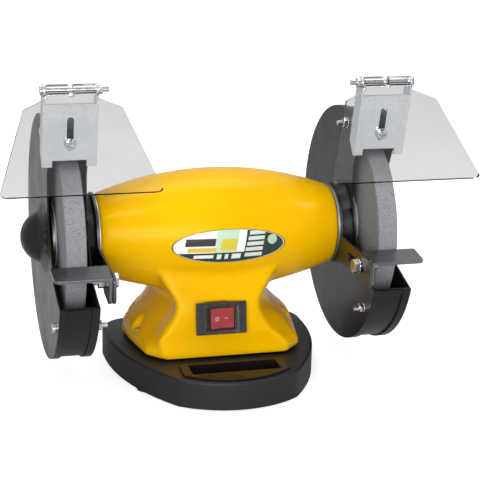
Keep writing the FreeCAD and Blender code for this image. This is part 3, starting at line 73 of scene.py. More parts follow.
def aimCamera(settings):
    turn, tip, roll = (math.radians(settings[key]) for key in ("turn", "tip", "roll"))
    look = Vector((math.sin(turn) * math.cos(tip), math.cos(turn) * math.cos(tip), -math.sin(tip)))
    level = Vector((math.cos(turn), -math.sin(turn), 0))
    rise = level.cross(look)
    across = level * math.cos(roll) + rise * math.sin(roll)
    upward = rise * math.cos(roll) - level * math.sin(roll)
    bpy.ops.object.camera_add()
    camera = bpy.context.object
    camera.name = "benchCamera"
    camera.data.lens = settings["lens"]
    camera.data.sensor_width = settings["sensor"]
    camera.data.clip_end = settings["reach"]
    turned = Matrix((across, upward, -look)).transposed().to_4x4()
    camera.matrix_world = Matrix.Translation(settings["place"]) @ turned
    scene.camera = camera


aimCamera(cameraSettings)

# lights: a soft box above on each side, a long one overhead and a weak one in front

lightSettings = {
    "leftBox": {"place": (-0.50, -0.53, 1.26), "size": (0.34, 0.26), "power": 4.0},
    "rightBox": {"place": (0.95, -0.30, 1.02), "size": (0.30, 0.22), "power": 3.0},
    "overhead": {"place": (0.0, 0.55, 1.70), "size": (1.5, 0.7), "power": 7.0},
    "front": {"place": (-0.6, -2.1, 0.55), "size": (1.6, 1.0), "power": 30.0},
}
aimPoint = Vector((0, 0, 0.11))
for lightName, light in lightSettings.items():
    bpy.ops.object.light_add(type="AREA", location=light["place"])
    lamp = bpy.context.object
    lamp.name = lightName
    lamp.data.shape = "RECTANGLE"
    lamp.data.size, lamp.data.size_y = light["size"]
    lamp.data.energy = light["power"]
    lamp.rotation_euler = (aimPoint - Vector(light["place"])).to_track_quat("-Z", "Y").to_euler()

roomSettings = {"low": (0.66, 0.66, 0.66, 1), "high": (0.50, 0.51, 0.53, 1), "highAt": 0.9,
    "behindGlass": 0.63}
room = bpy.data.worlds.new("room")
scene.world = room
room.use_nodes = True
roomTree = room.node_tree
roomCoords = roomTree.nodes.new("ShaderNodeTexCoord")
roomAxes = roomTree.nodes.new("ShaderNodeSeparateXYZ")
roomRamp = roomTree.nodes.new("ShaderNodeValToRGB")
roomRamp.color_ramp.elements[0].position = 0.0
roomRamp.color_ramp.elements[0].color = roomSettings["low"]
roomRamp.color_ramp.elements[1].position = roomSettings["highAt"]
roomRamp.color_ramp.elements[1].color = roomSettings["high"]
roomTree.links.new(roomCoords.outputs["Generated"], roomAxes.inputs[0])
roomTree.links.new(roomAxes.outputs["Z"], roomRamp.inputs[0])
roomPath = roomTree.nodes.new("ShaderNodeLightPath")
roomGlass = roomTree.nodes.new("ShaderNodeMix")
roomGlass.data_type = "RGBA"
roomGlass.inputs["B"].default_value = (roomSettings["behindGlass"],) * 3 + (1,)
roomWhite = roomTree.nodes.new("ShaderNodeMix")
roomWhite.data_type = "RGBA"
roomWhite.inputs["B"].default_value = (1, 1, 1, 1)
roomTree.links.new(roomPath.outputs["Is Transmission Ray"], roomGlass.inputs["Factor"])
roomTree.links.new(roomRamp.outputs[0], roomGlass.inputs["A"])
roomTree.links.new(roomPath.outputs["Is Camera Ray"], roomWhite.inputs["Factor"])
roomTree.links.new(roomGlass.outputs["Result"], roomWhite.inputs["A"])
roomTree.links.new(roomWhite.outputs["Result"], roomTree.nodes["Background"].inputs["Color"])
print("camera, lights and room set")

# shader effects that several finishes share


def newGroup(name, inputs, outputs):
    tree = bpy.data.node_groups.new(name, "ShaderNodeTree")
    for label, kind, value in inputs:
        socket = tree.interface.new_socket(name=label, in_out="INPUT", socket_type=kind)
        if value is not None:
            socket.default_value = value
    for label, kind in outputs:
        tree.interface.new_socket(name=label, in_out="OUTPUT", socket_type=kind)
    return tree, tree.nodes.new("NodeGroupInput"), tree.nodes.new("NodeGroupOutput")


def addNode(tree, kind, **settings):
    node = tree.nodes.new(kind)
    for key, value in settings.items():
        setattr(node, key, value)
    return node


# grain: specks of two tones, as in bonded abrasive or grained plastic
grainSettings = {"detail": 3, "noiseShare": 0.55, "middle": 0.55, "rest": 0.5}
grainTree, grainIn, grainOut = newGroup(
    "grain",
    [("Vector", "NodeSocketVector", None), ("Scale", "NodeSocketFloat", 900.0),
    ("Sharpness", "NodeSocketFloat", 0.5),
     ("Dark", "NodeSocketColor", (0, 0, 0, 1)), ("Light", "NodeSocketColor", (1, 1, 1, 1))],
    [("Color", "NodeSocketColor"), ("Height", "NodeSocketFloat")])
grainNoise = addNode(grainTree, "ShaderNodeTexNoise")
grainNoise.inputs["Detail"].default_value = grainSettings["detail"]
grainCells = addNode(grainTree, "ShaderNodeTexVoronoi")
grainSum = addNode(grainTree, "ShaderNodeMath", operation="MULTIPLY_ADD")
grainSum.inputs[1].default_value = grainSettings["noiseShare"]
grainContrast = addNode(grainTree, "ShaderNodeMath", operation="MULTIPLY_ADD")
grainCentre = addNode(grainTree, "ShaderNodeMath", operation="SUBTRACT")
grainCentre.inputs[1].default_value = grainSettings["middle"]
grainClamp = addNode(grainTree, "ShaderNodeClamp")
grainMix = addNode(grainTree, "ShaderNodeMix", data_type="RGBA")
link = grainTree.links.new
link(grainIn.outputs["Vector"], grainNoise.inputs["Vector"])
link(grainIn.outputs["Scale"], grainNoise.inputs["Scale"])
link(grainIn.outputs["Vector"], grainCells.inputs["Vector"])
link(grainIn.outputs["Scale"], grainCells.inputs["Scale"])
link(grainCells.outputs["Distance"], grainSum.inputs[0])
link(grainNoise.outputs["Fac"], grainSum.inputs[2])
link(grainSum.outputs[0], grainCentre.inputs[0])
link(grainCentre.outputs[0], grainContrast.inputs[0])
link(grainIn.outputs["Sharpness"], grainContrast.inputs[1])
grainContrast.inputs[2].default_value = grainSettings["rest"]
link(grainContrast.outputs[0], grainClamp.inputs[0])
link(grainClamp.outputs[0], grainMix.inputs["Factor"])
link(grainIn.outputs["Dark"], grainMix.inputs["A"])
link(grainIn.outputs["Light"], grainMix.inputs["B"])
link(grainMix.outputs["Result"], grainOut.inputs["Color"])
link(grainClamp.outputs[0], grainOut.inputs["Height"])

# drift: slow change of a value over the surface, for uneven gloss and tone
noiseBand = (0.3, 0.7)
driftDetail = 4
driftTree, driftIn, driftOut = newGroup(
    "drift",
    [("Vector", "NodeSocketVector", None), ("Scale", "NodeSocketFloat", 20.0),
    ("Low", "NodeSocketFloat", 0.0),
     ("High", "NodeSocketFloat", 1.0)],
    [("Value", "NodeSocketFloat")])
driftNoise = addNode(driftTree, "ShaderNodeTexNoise")
driftNoise.inputs["Detail"].default_value = driftDetail
driftRange = addNode(driftTree, "ShaderNodeMapRange")
driftRange.inputs["From Min"].default_value, driftRange.inputs["From Max"].default_value = noiseBand
link = driftTree.links.new
link(driftIn.outputs["Vector"], driftNoise.inputs["Vector"])
link(driftIn.outputs["Scale"], driftNoise.inputs["Scale"])
link(driftNoise.outputs["Fac"], driftRange.inputs["Value"])
link(driftIn.outputs["Low"], driftRange.inputs["To Min"])
link(driftIn.outputs["High"], driftRange.inputs["To Max"])
link(driftRange.outputs["Result"], driftOut.inputs["Value"])

# streaks: fine parallel lines left by brushing or rolling
streakDetail = 5
streakTree, streakIn, streakOut = newGroup(
    "streaks",
    [("Vector", "NodeSocketVector", None), ("Stretch", "NodeSocketVector", (1, 1, 1)),
    ("Low", "NodeSocketFloat", 0.0),
     ("High", "NodeSocketFloat", 1.0)],
    [("Value", "NodeSocketFloat"), ("Height", "NodeSocketFloat")])
streakScale = addNode(streakTree, "ShaderNodeVectorMath", operation="MULTIPLY")
streakNoise = addNode(streakTree, "ShaderNodeTexNoise")
streakNoise.inputs["Scale"].default_value = 1
streakNoise.inputs["Detail"].default_value = streakDetail
streakRange = addNode(streakTree, "ShaderNodeMapRange")
streakRange.inputs["From Min"].default_value, streakRange.inputs["From Max"].default_value = noiseBand
link = streakTree.links.new
link(streakIn.outputs["Vector"], streakScale.inputs[0])
link(streakIn.outputs["Stretch"], streakScale.inputs[1])
link(streakScale.outputs[0], streakNoise.inputs["Vector"])
link(streakNoise.outputs["Fac"], streakRange.inputs["Value"])
link(streakIn.outputs["Low"], streakRange.inputs["To Min"])
link(streakIn.outputs["High"], streakRange.inputs["To Max"])
link(streakRange.outputs["Result"], streakOut.inputs["Value"])
link(streakNoise.outputs["Fac"], streakOut.inputs["Height"])


def newFinish(name):
    finish = bpy.data.materials.new(name)
    finish.use_nodes = True
    tree = finish.node_tree
    return finish, tree, tree.nodes["Principled BSDF"], tree.nodes.new("ShaderNodeTexCoord").outputs["Object"]


def effect(tree, group, place, **values):
    node = addNode(tree, "ShaderNodeGroup", node_tree=group)
    tree.links.new(place, node.inputs["Vector"])
    for key, value in values.items():
        node.inputs[key].default_value = value
    return node


def bumpFrom(tree, shader, height, strength, distance):
    bump = addNode(tree, "ShaderNodeBump")
    bump.inputs["Strength"].default_value = strength
    bump.inputs["Distance"].default_value = distance
    tree.links.new(height, bump.inputs["Height"])
    tree.links.new(bump.outputs[0], shader.inputs["Normal"])


def tone(tree, amount, dark, light):
    mix = addNode(tree, "ShaderNodeMix", data_type="RGBA")
    tree.links.new(amount, mix.inputs["Factor"])
    mix.inputs["A"].default_value = (*dark, 1)
    mix.inputs["B"].default_value = (*light, 1)
    return mix.outputs["Result"]


paintSettings = {"toneScale": 14.0, "glossScale": 38.0, "coatRough": 0.10, "peelSharp": 0.8,
    "peelDepth": 0.0004}


def paintFinish(name, dark, light, rough, coat, peel, peelScale, specular, tint=(1, 1, 1)):
    finish, tree, shader, place = newFinish(name)
    shade = effect(tree, driftTree, place, Scale=paintSettings["toneScale"])
    tree.links.new(tone(tree, shade.outputs["Value"], dark, light), shader.inputs["Base Color"])
    gloss = effect(tree, driftTree, place, Scale=paintSettings["glossScale"], Low=rough[0],
        High=rough[1])
    tree.links.new(gloss.outputs["Value"], shader.inputs["Roughness"])
    shader.inputs["Coat Weight"].default_value = coat
    shader.inputs["Coat Roughness"].default_value = paintSettings["coatRough"]
    shader.inputs["Specular IOR Level"].default_value = specular
    shader.inputs["Specular Tint"].default_value = (*tint, 1)
    skin = effect(tree, grainTree, place, Scale=peelScale, Sharpness=paintSettings["peelSharp"])
    bumpFrom(tree, shader, skin.outputs["Height"], peel, paintSettings["peelDepth"])
    return finish


metalSettings = {"cloudScale": 26.0, "lineShare": 0.35, "cloudShare": 0.65, "lineDepth": 0.0002}


def metalFinish(name, dark, light, rough, stretch, bump, metallic=1.0):
    finish, tree, shader, place = newFinish(name)
    lines = effect(tree, streakTree, place, Stretch=stretch)
    cloud = effect(tree, driftTree, place, Scale=metalSettings["cloudScale"])
    blend = addNode(tree, "ShaderNodeMath", operation="MULTIPLY_ADD")
    blend.inputs[1].default_value = metalSettings["lineShare"]
    share = addNode(tree, "ShaderNodeMath", operation="MULTIPLY")
    share.inputs[1].default_value = metalSettings["cloudShare"]
    tree.links.new(cloud.outputs["Value"], share.inputs[0])
    tree.links.new(lines.outputs["Value"], blend.inputs[0])
    tree.links.new(share.outputs[0], blend.inputs[2])
    tree.links.new(tone(tree, blend.outputs[0], dark, light), shader.inputs["Base Color"])
    gloss = effect(tree, streakTree, place, Stretch=stretch, Low=rough[0], High=rough[1])
    tree.links.new(gloss.outputs["Value"], shader.inputs["Roughness"])
    shader.inputs["Metallic"].default_value = metallic
    bumpFrom(tree, shader, lines.outputs["Height"], bump, metalSettings["lineDepth"])
    return finish


grainedSettings = {"glossScale": 30.0, "depth": 0.0003}


def grainedFinish(name, dark, light, rough, scale, sharp, bump, specular=0.5):
    finish, tree, shader, place = newFinish(name)
    grain = effect(tree, grainTree, place, Scale=scale, Sharpness=sharp, Dark=(*dark, 1),
        Light=(*light, 1))
    tree.links.new(grain.outputs["Color"], shader.inputs["Base Color"])
    gloss = effect(tree, driftTree, place, Scale=grainedSettings["glossScale"], Low=rough[0],
        High=rough[1])
    tree.links.new(gloss.outputs["Value"], shader.inputs["Roughness"])
    shader.inputs["Specular IOR Level"].default_value = specular
    bumpFrom(tree, shader, grain.outputs["Height"], bump, grainedSettings["depth"])
    return finish


clearSettings = {"hazeScale": 60.0, "hazeShade": 0.97, "wipe": (90.0, 700.0, 90.0)}


def clearFinish(name, color, rough, ior):
    finish, tree, shader, place = newFinish(name)
    haze = effect(tree, driftTree, place, Scale=clearSettings["hazeScale"])
    hazy = tuple(part * clearSettings["hazeShade"] for part in color)
    tree.links.new(tone(tree, haze.outputs["Value"], hazy, color), shader.inputs["Base Color"])
    wipe = effect(tree, streakTree, place, Stretch=clearSettings["wipe"], Low=rough[0], High=rough[1])
    tree.links.new(wipe.outputs["Value"], shader.inputs["Roughness"])
    shader.inputs["Transmission Weight"].default_value = 1.0
    shader.inputs["IOR"].default_value = ior
    return finish



def abrasiveFinish(name, settings):
    # a worn rim shows dark pores and bright grains, the trued sides are finer, and they are painted paler as
    # painted light falling on the side faces
    finish, tree, shader, place = newFinish(name)
    rim = effect(tree, grainTree, place, Scale=settings["rimScale"], Sharpness=settings["rimSharp"],
                 Dark=(*settings["rimDark"], 1), Light=(*settings["rimLight"], 1))
    side = effect(tree, grainTree, place, Scale=settings["sideScale"], Sharpness=settings["sideSharp"],
                  Dark=(*settings["paintedLitSideDark"], 1), Light=(*settings["paintedLitSideLight"], 1))
    geometry = addNode(tree, "ShaderNodeNewGeometry")
    axes = addNode(tree, "ShaderNodeSeparateXYZ")
    tree.links.new(geometry.outputs["True Normal"], axes.inputs[0])
    facing = addNode(tree, "ShaderNodeMath", operation="ABSOLUTE")
    tree.links.new(axes.outputs["X"], facing.inputs[0])
    onSide = addNode(tree, "ShaderNodeMath", operation="GREATER_THAN")
    onSide.inputs[1].default_value = settings["sideFacing"]
    tree.links.new(facing.outputs[0], onSide.inputs[0])
    mix = addNode(tree, "ShaderNodeMix", data_type="RGBA")
    tree.links.new(onSide.outputs[0], mix.inputs["Factor"])
    tree.links.new(rim.outputs["Color"], mix.inputs["A"])
    tree.links.new(side.outputs["Color"], mix.inputs["B"])
    tree.links.new(mix.outputs["Result"], shader.inputs["Base Color"])
    gloss = effect(tree, driftTree, place, Scale=settings["glossScale"], Low=settings["rough"][0],
                   High=settings["rough"][1])
    tree.links.new(gloss.outputs["Value"], shader.inputs["Roughness"])
    shader.inputs["Specular IOR Level"].default_value = settings["specular"]
    bumpFrom(tree, shader, rim.outputs["Height"], settings["bump"], settings["depth"])
    return finish


# the side tones are paler than the rim tones: painted light on the wheel's side faces
wheelSettings = {
    "rimScale": 1150.0, "rimSharp": 2.6, "rimDark": (0.016, 0.016, 0.019),
    "rimLight": (0.27, 0.275, 0.295),
    "sideScale": 900.0, "sideSharp": 1.6, "paintedLitSideDark": (0.07, 0.072, 0.08),
    "paintedLitSideLight": (0.22, 0.225, 0.245),
    "sideFacing": 0.5, "glossScale": 200.0, "rough": (0.72, 0.95), "specular": 0.3, "bump": 0.35,
    "depth": 0.0004,
}
abrasive = abrasiveFinish("bondedAbrasive", wheelSettings)
enamel = paintFinish(
    "warmYellowEnamel", dark=(0.80, 0.425, 0.0), light=(0.87, 0.475, 0.0), rough=(0.24, 0.32),
    coat=0.05, peel=0.045, peelScale=420.0, specular=0.24, tint=(1.0, 0.78, 0.16))
guardPaint = paintFinish(
    "satinBlackPaint", dark=(0.006, 0.006, 0.007), light=(0.011, 0.011, 0.012), rough=(0.26, 0.36),
    coat=0.0, peel=0.05, peelScale=900.0, specular=0.26)
basePlastic = grainedFinish(
    "charcoalPlastic", dark=(0.008, 0.008, 0.0095), light=(0.016, 0.016, 0.019), rough=(0.40, 0.52),
    scale=1500.0, sharp=1.2, bump=0.06, specular=0.30)
zincPlate = metalFinish(
    "zincPlate", dark=(0.68, 0.74, 0.79), light=(0.88, 0.90, 0.91), rough=(0.18, 0.28),
    stretch=(900.0, 900.0, 25.0), bump=0.006)
zincBolt = metalFinish(
    "zincBolt", dark=(0.48, 0.50, 0.53), light=(0.72, 0.73, 0.75), rough=(0.12, 0.22),
    stretch=(260.0, 260.0, 260.0), bump=0.02)
restSteel = metalFinish(
    "restSteel", dark=(0.15, 0.155, 0.165), light=(0.24, 0.245, 0.26), rough=(0.22, 0.34),
    stretch=(40.0, 1100.0, 1100.0), bump=0.02)
# the rest arm's steel is darkened as painted shade, for a face that lies in shadow
shadedArmSteel = metalFinish(
    "shadeDarkenedArmSteel", dark=(0.07, 0.07, 0.075), light=(0.13, 0.13, 0.14), rough=(0.30, 0.42),
    stretch=(300.0, 300.0, 300.0), bump=0.02)
darkSteel = metalFinish(
    "machinedSteel", dark=(0.22, 0.22, 0.23), light=(0.38, 0.38, 0.39), rough=(0.28, 0.42),
    stretch=(900.0, 60.0, 60.0), bump=0.08)
bearingSteel = metalFinish(
    "groundSteel", dark=(0.62, 0.63, 0.64), light=(0.80, 0.80, 0.81), rough=(0.10, 0.18),
    stretch=(700.0, 80.0, 80.0), bump=0.03)
aluminium = metalFinish(
    "castAluminium", dark=(0.50, 0.51, 0.52), light=(0.66, 0.67, 0.68), rough=(0.35, 0.50),
    stretch=(300.0, 300.0, 300.0), bump=0.15)
lamination = metalFinish(
    "laminations", dark=(0.10, 0.10, 0.11), light=(0.24, 0.24, 0.25), rough=(0.40, 0.60),
    stretch=(2200.0, 20.0, 20.0), bump=0.30, metallic=0.8)
copperWire = metalFinish(
    "enamelledCopper", dark=(0.42, 0.13, 0.05), light=(0.72, 0.28, 0.11), rough=(0.25, 0.40),
    stretch=(900.0, 50.0, 50.0), bump=0.35, metallic=0.9)
blackPlastic = grainedFinish(
    "blackPlastic", dark=(0.010, 0.010, 0.011), light=(0.018, 0.018, 0.019), rough=(0.22, 0.32),
    scale=1600.0, sharp=1.0, bump=0.05)
# the faint red in both tray tones is a painted reflection of the red switch above
trayPlastic = grainedFinish(
    "darkGlossPlastic", dark=(0.008, 0.005, 0.006), light=(0.014, 0.008, 0.009), rough=(0.22, 0.32),
    scale=1200.0, sharp=0.9, bump=0.03, specular=0.16)
rubber = grainedFinish(
    "blackRubber", dark=(0.012, 0.012, 0.012), light=(0.030, 0.030, 0.030), rough=(0.70, 0.85),
    scale=1300.0, sharp=1.4, bump=0.25)
blotting = grainedFinish(
    "blottingPaper", dark=(0.42, 0.39, 0.31), light=(0.60, 0.57, 0.48), rough=(0.85, 0.95),
    scale=2600.0, sharp=1.5, bump=0.20)
clearSheet = clearFinish(
    "clearSheet", color=(0.95, 0.945, 0.935), rough=(0.01, 0.05), ior=1.46)
clearCover = clearFinish(
    "clearCover", color=(0.86, 0.84, 0.84), rough=(0.02, 0.06), ior=1.22)
print("finishes made")

nodeFinishes = {
    "base_shell": basePlastic, "base_bottom_plate": zincPlate, "rubber_feet": rubber,
    "base_plate_screws": zincBolt,
    "housing_screws": zincBolt, "motor_housing": enamel, "guard_mount_screws": zincBolt,
    "spindle_nuts": zincBolt,
    "switch_body": blackPlastic, "switch_bezel": blackPlastic, "cable_gland": blackPlastic,
    "capacitor": aluminium,
    "stator_core": lamination, "rotor_core": lamination, "stator_windings": copperWire,
    "spindle": darkSteel,
    "bearing_balls": bearingSteel, "water_tray": trayPlastic, "badge_plate": blackPlastic,
    "switch_cover": clearCover, "switch_rocker": blackPlastic,
}
sideFinishes = {
    "bearing_inner_ring": bearingSteel, "bearing_outer_ring": bearingSteel, "end_shield": aluminium,
    "rest_arm": shadedArmSteel, "guard_inner": guardPaint, "guard_band": guardPaint,
    "guard_cover": guardPaint,
    "guard_screws": zincBolt, "bracket_screw": zincBolt, "hinge_bolt": zincBolt,
    "spark_bracket": zincPlate,
    "rest_bolt": zincBolt, "tool_rest": restSteel, "grinding_wheel": abrasive,
    "wheel_bush": blackPlastic,
    "wheel_blotters": blotting, "inner_flange": darkSteel, "outer_flange": darkSteel,
    "eye_shield": clearSheet,
}
for side in ("left", "right"):
    for name, finish in sideFinishes.items():
        nodeFinishes[f"{side}_{name}"] = finish


def coat(piece, finish):
    piece.data.materials.clear()
    piece.data.materials.append(finish)


for name, node in frame["nodes"].items():
    coat(node, nodeFinishes[name])

# work on a piece


def deselect():
    if bpy.context.mode != "OBJECT":
        bpy.ops.object.mode_set(mode="OBJECT")
    bpy.ops.object.select_all(action="DESELECT")


def focus(piece):
    deselect()
    piece.select_set(True)
    bpy.context.view_layer.objects.active = piece


def bodyOf(nodeName):
    bodies = frame["record"]["behaviour"]["bodies"]
    return [body for body, members in bodies.items() if nodeName in members][0]


def standIn(nodeName, pieceName):
    # a merged copy of a CAD node, which then stands for it
    focus(frame["nodes"][nodeName])
    bpy.ops.object.duplicate()
    piece = bpy.context.object
    piece.name = pieceName
    del piece["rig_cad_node"]
    bpy.ops.object.mode_set(mode="EDIT")
    bpy.ops.mesh.select_all(action="SELECT")
    bpy.ops.mesh.remove_doubles(threshold=0.000002)
    bpy.ops.mesh.dissolve_limited(angle_limit=math.radians(0.6))
    bpy.ops.object.mode_set(mode="OBJECT")
    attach(piece, bodyOf(nodeName))
    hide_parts(nodeName)
    return piece


def applied(piece, kind, **settings):
    focus(piece)
    modifier = piece.modifiers.new(kind.lower(), kind)
    for key, value in settings.items():
        setattr(modifier, key, value)
    bpy.ops.object.modifier_apply(modifier=modifier.name)


smoothBelow = 42
evenSegments, evenAngle = 3, 40.0


def softEdges(piece, width, segments, angle):
    applied(piece, "BEVEL", width=width, segments=segments, limit_method="ANGLE",
        angle_limit=math.radians(angle),
            use_clamp_overlap=True, harden_normals=False)
    focus(piece)
    bpy.ops.object.shade_smooth_by_angle(angle=math.radians(smoothBelow))
    applied(piece, "WEIGHTED_NORMAL", mode="FACE_AREA", weight=100, keep_sharp=True)


# motor housing: the casting with soft, flowing junctions

# band is the height below which the casting is painted black, a painted shadow under the skirt's edge
housingSettings = {
    "voxel": 0.00125, "factor": 0.5, "allOver": 18, "junction": 70, "junctionLow": 0.046,
    "junctionHigh": 0.094,
    "junctionHalf": 0.075, "panelLeft": -0.030, "panelRight": 0.018, "panelFront": -0.035,
    "panelTop": 0.074,
    "band": 0.0264, "faces": 150000,
}


def castHousing(settings):
    piece = standIn("motor_housing", "housingCasting")
    applied(piece, "REMESH", mode="VOXEL", voxel_size=settings["voxel"], use_smooth_shade=True)
    junction = piece.vertex_groups.new(name="junction")
    inJunction = []
    for vertex in piece.data.vertices:
        across, depth, height = vertex.co
        level = settings["junctionLow"] < height < settings["junctionHigh"]
        onPanel = (settings["panelLeft"] < across < settings["panelRight"] and depth < settings["panelFront"]
                   and height < settings["panelTop"])
        if level and abs(across) < settings["junctionHalf"] and not onPanel:
            inJunction.append(vertex.index)
    junction.add(inJunction, 1.0, "REPLACE")
    applied(piece, "SMOOTH", factor=settings["factor"], iterations=settings["allOver"])
    applied(piece, "SMOOTH", factor=settings["factor"], iterations=settings["junction"],
        vertex_group="junction")
    count = sum(len(face.vertices) - 2 for face in piece.data.polygons)
    if count > settings["faces"]:
        applied(piece, "DECIMATE", ratio=settings["faces"] / count)
    focus(piece)
    bpy.ops.object.shade_smooth()
    coat(piece, enamel)
    # faces below the band get the black paint: a painted shadow in the gap between the skirt and the base
    piece.data.materials.append(guardPaint)
    for face in piece.data.polygons:
        face.material_index = 1 if face.center.z < settings["band"] else 0
    print("housing:", count, "triangles before thinning")


castHousing(housingSettings)

# pieces whose shape is kept and whose edges are softened

softSettings = {
    "guard_cover": ("GuardCover", 0.0005, 3, 28.0, guardPaint),
    "guard_inner": ("GuardPlate", 0.0005, 3, 28.0, guardPaint),
    "guard_band": ("GuardBand", 0.0003, 2, 40.0, guardPaint),
    "rest_arm": ("RestArm", 0.0004, 3, 40.0, shadedArmSteel),
    "tool_rest": ("ToolRest", 0.0006, 3, 40.0, restSteel),
    "spark_bracket": ("SparkBracket", 0.0009, 4, 40.0, zincPlate),
    "eye_shield": ("EyeShield", 0.0004, 3, 40.0, clearSheet),
    "grinding_wheel": ("Wheel", 0.0005, 2, 40.0, abrasive),
    "guard_screws": ("GuardScrews", 0.0003, 2, 40.0, zincBolt),
    "hinge_bolt": ("HingeBolt", 0.0003, 2, 40.0, zincBolt),
    "bracket_screw": ("BracketScrew", 0.0003, 2, 40.0, zincBolt),
    "rest_bolt": ("RestBolt", 0.0004, 2, 40.0, zincBolt),
}
for side in ("left", "right"):
    for name, (label, width, segments, angle, finish) in softSettings.items():
        piece = standIn(f"{side}_{name}", side + label)
        softEdges(piece, width, segments, angle)
        coat(piece, finish)
for name, label, width, finish in (
        ("switch_bezel", "switchBezel", 0.0006, blackPlastic),
        ("water_tray", "waterTray", 0.0007, trayPlastic),
        ("switch_cover", "switchCover", 0.0008, clearCover),
        ("base_shell", "baseShell", 0.0004, basePlastic)):
    piece = standIn(name, label)
    softEdges(piece, width, evenSegments, evenAngle)
    coat(piece, finish)
print("edges softened")

# switch rocker: red, with a ring and a bar

rockerFinish, rockerTree, rockerShader, rockerPlace = newFinish("redRocker")
rockerSettings = {
    "ring": (-0.0098, 0.0587), "bar": (-0.0022, 0.0587), "reach": 0.0013, "line": 0.00035,
    "dark": (0.34, 0.006, 0.010), "light": (0.60, 0.014, 0.018), "mark": (0.85, 0.80, 0.80),
    "toneScale": 160.0, "glossScale": 90.0, "rough": (0.12, 0.22), "coat": 0.5, "edge": 0.0006,
    "edgeAngle": 20.0,
}


def rockerMarks(tree, place, settings):
    # distance from the ring's middle and from the bar, both seen from the front
    axes = addNode(tree, "ShaderNodeSeparateXYZ")
    tree.links.new(place, axes.inputs[0])

    def away(axis, value):
        shift = addNode(tree, "ShaderNodeMath", operation="SUBTRACT")
        tree.links.new(axes.outputs[axis], shift.inputs[0])
        shift.inputs[1].default_value = value
        return shift.outputs[0]

    def under(value, limit):
        test = addNode(tree, "ShaderNodeMath", operation="COMPARE")
        tree.links.new(value, test.inputs[0])
        test.inputs[1].default_value = 0.0
        test.inputs[2].default_value = limit
        return test.outputs[0]

    def joined(kind, first, second):
        pair = addNode(tree, "ShaderNodeMath", operation=kind)
        tree.links.new(first, pair.inputs[0])
        tree.links.new(second, pair.inputs[1])
        return pair.outputs[0]

    across = away("X", settings["ring"][0])
    rise = away("Z", settings["ring"][1])
    squares = joined("ADD", joined("MULTIPLY", across, across), joined("MULTIPLY", rise, rise))
    radius = addNode(tree, "ShaderNodeMath", operation="SQRT")
    tree.links.new(squares, radius.inputs[0])
    edge = addNode(tree, "ShaderNodeMath", operation="SUBTRACT")
    tree.links.new(radius.outputs[0], edge.inputs[0])
    edge.inputs[1].default_value = settings["reach"]
    ring = under(edge.outputs[0], settings["line"])
    bar = joined("MULTIPLY", under(away("X", settings["bar"][0]), settings["reach"]),
                 under(away("Z", settings["bar"][1]), settings["line"]))
    return joined("MAXIMUM", ring, bar)


rockerGlow = effect(rockerTree, driftTree, rockerPlace, Scale=rockerSettings["toneScale"])
rockerMix = addNode(rockerTree, "ShaderNodeMix", data_type="RGBA")
rockerTree.links.new(rockerMarks(rockerTree, rockerPlace, rockerSettings), rockerMix.inputs["Factor"])
rockerTone = tone(rockerTree, rockerGlow.outputs["Value"], rockerSettings["dark"],
    rockerSettings["light"])
rockerTree.links.new(rockerTone, rockerMix.inputs["A"])
rockerMix.inputs["B"].default_value = (*rockerSettings["mark"], 1)
rockerTree.links.new(rockerMix.outputs["Result"], rockerShader.inputs["Base Color"])
rockerRough = effect(rockerTree, driftTree, rockerPlace, Scale=rockerSettings["glossScale"],
                     Low=rockerSettings["rough"][0], High=rockerSettings["rough"][1])
rockerTree.links.new(rockerRough.outputs["Value"], rockerShader.inputs["Roughness"])
rockerShader.inputs["Coat Weight"].default_value = rockerSettings["coat"]
rocker = standIn("switch_rocker", "switchRocker")
softEdges(rocker, rockerSettings["edge"], evenSegments, rockerSettings["edgeAngle"])
coat(rocker, rockerFinish)

# badge: plain bands of colour on a dark oval with a bright rim, no lettering

badgeSettings = {
    "centre": (0.0014, 0.115), "half": (0.0455, 0.0135), "slant": 0.045,
    "ground": (0.006, 0.022, 0.012), "field": (0.80, 0.83, 0.80), "fieldSpan": (-2.0, 0.27),
    "column": (0.50, 0.68, 0.50), "columnSpan": (-0.25, 0.13), "footBelow": -0.36,
    "disc": (0.42, 0.56, 0.44), "discAt": (0.76, 0.26), "discReach": 0.085,
    "rim": (0.72, 0.72, 0.70), "rimSpan": (0.93, 0.965), "outside": (0.012, 0.012, 0.012),
    "glossScale": 70.0, "rough": (0.16, 0.24), "coat": 0.4,
}
# blocks on the badge: left, right, bottom and top as shares of the oval, then the colour
ochre, black, amber, paper = (0.70, 0.48, 0.02), (0.02, 0.02, 0.02), (0.66, 0.52, 0.03), (0.76, 0.78,
    0.76)
mint, reed = (0.70, 0.74, 0.70), (0.60, 0.68, 0.60)
badgeBlocks = [
    (-0.72, -0.24, -0.30, -0.04, ochre), (-0.78, -0.26, 0.06, 0.50, black),
    (-0.16, 0.12, -0.24, 0.44, amber), (-0.60, -0.26, -0.68, -0.48, paper),
    (-0.20, -0.12, -0.76, -0.46, mint), (-0.06, 0.00, -0.76, -0.46, mint),
    (0.06, 0.22, -0.76, -0.46, mint),
    (0.32, 0.60, 0.62, 0.84, reed), (0.31, 0.60, 0.30, 0.52, reed), (0.30, 0.60, -0.02, 0.20, reed),
    (0.29, 0.60, -0.34, -0.12, reed), (0.29, 0.60, -0.68, -0.46, reed),
]


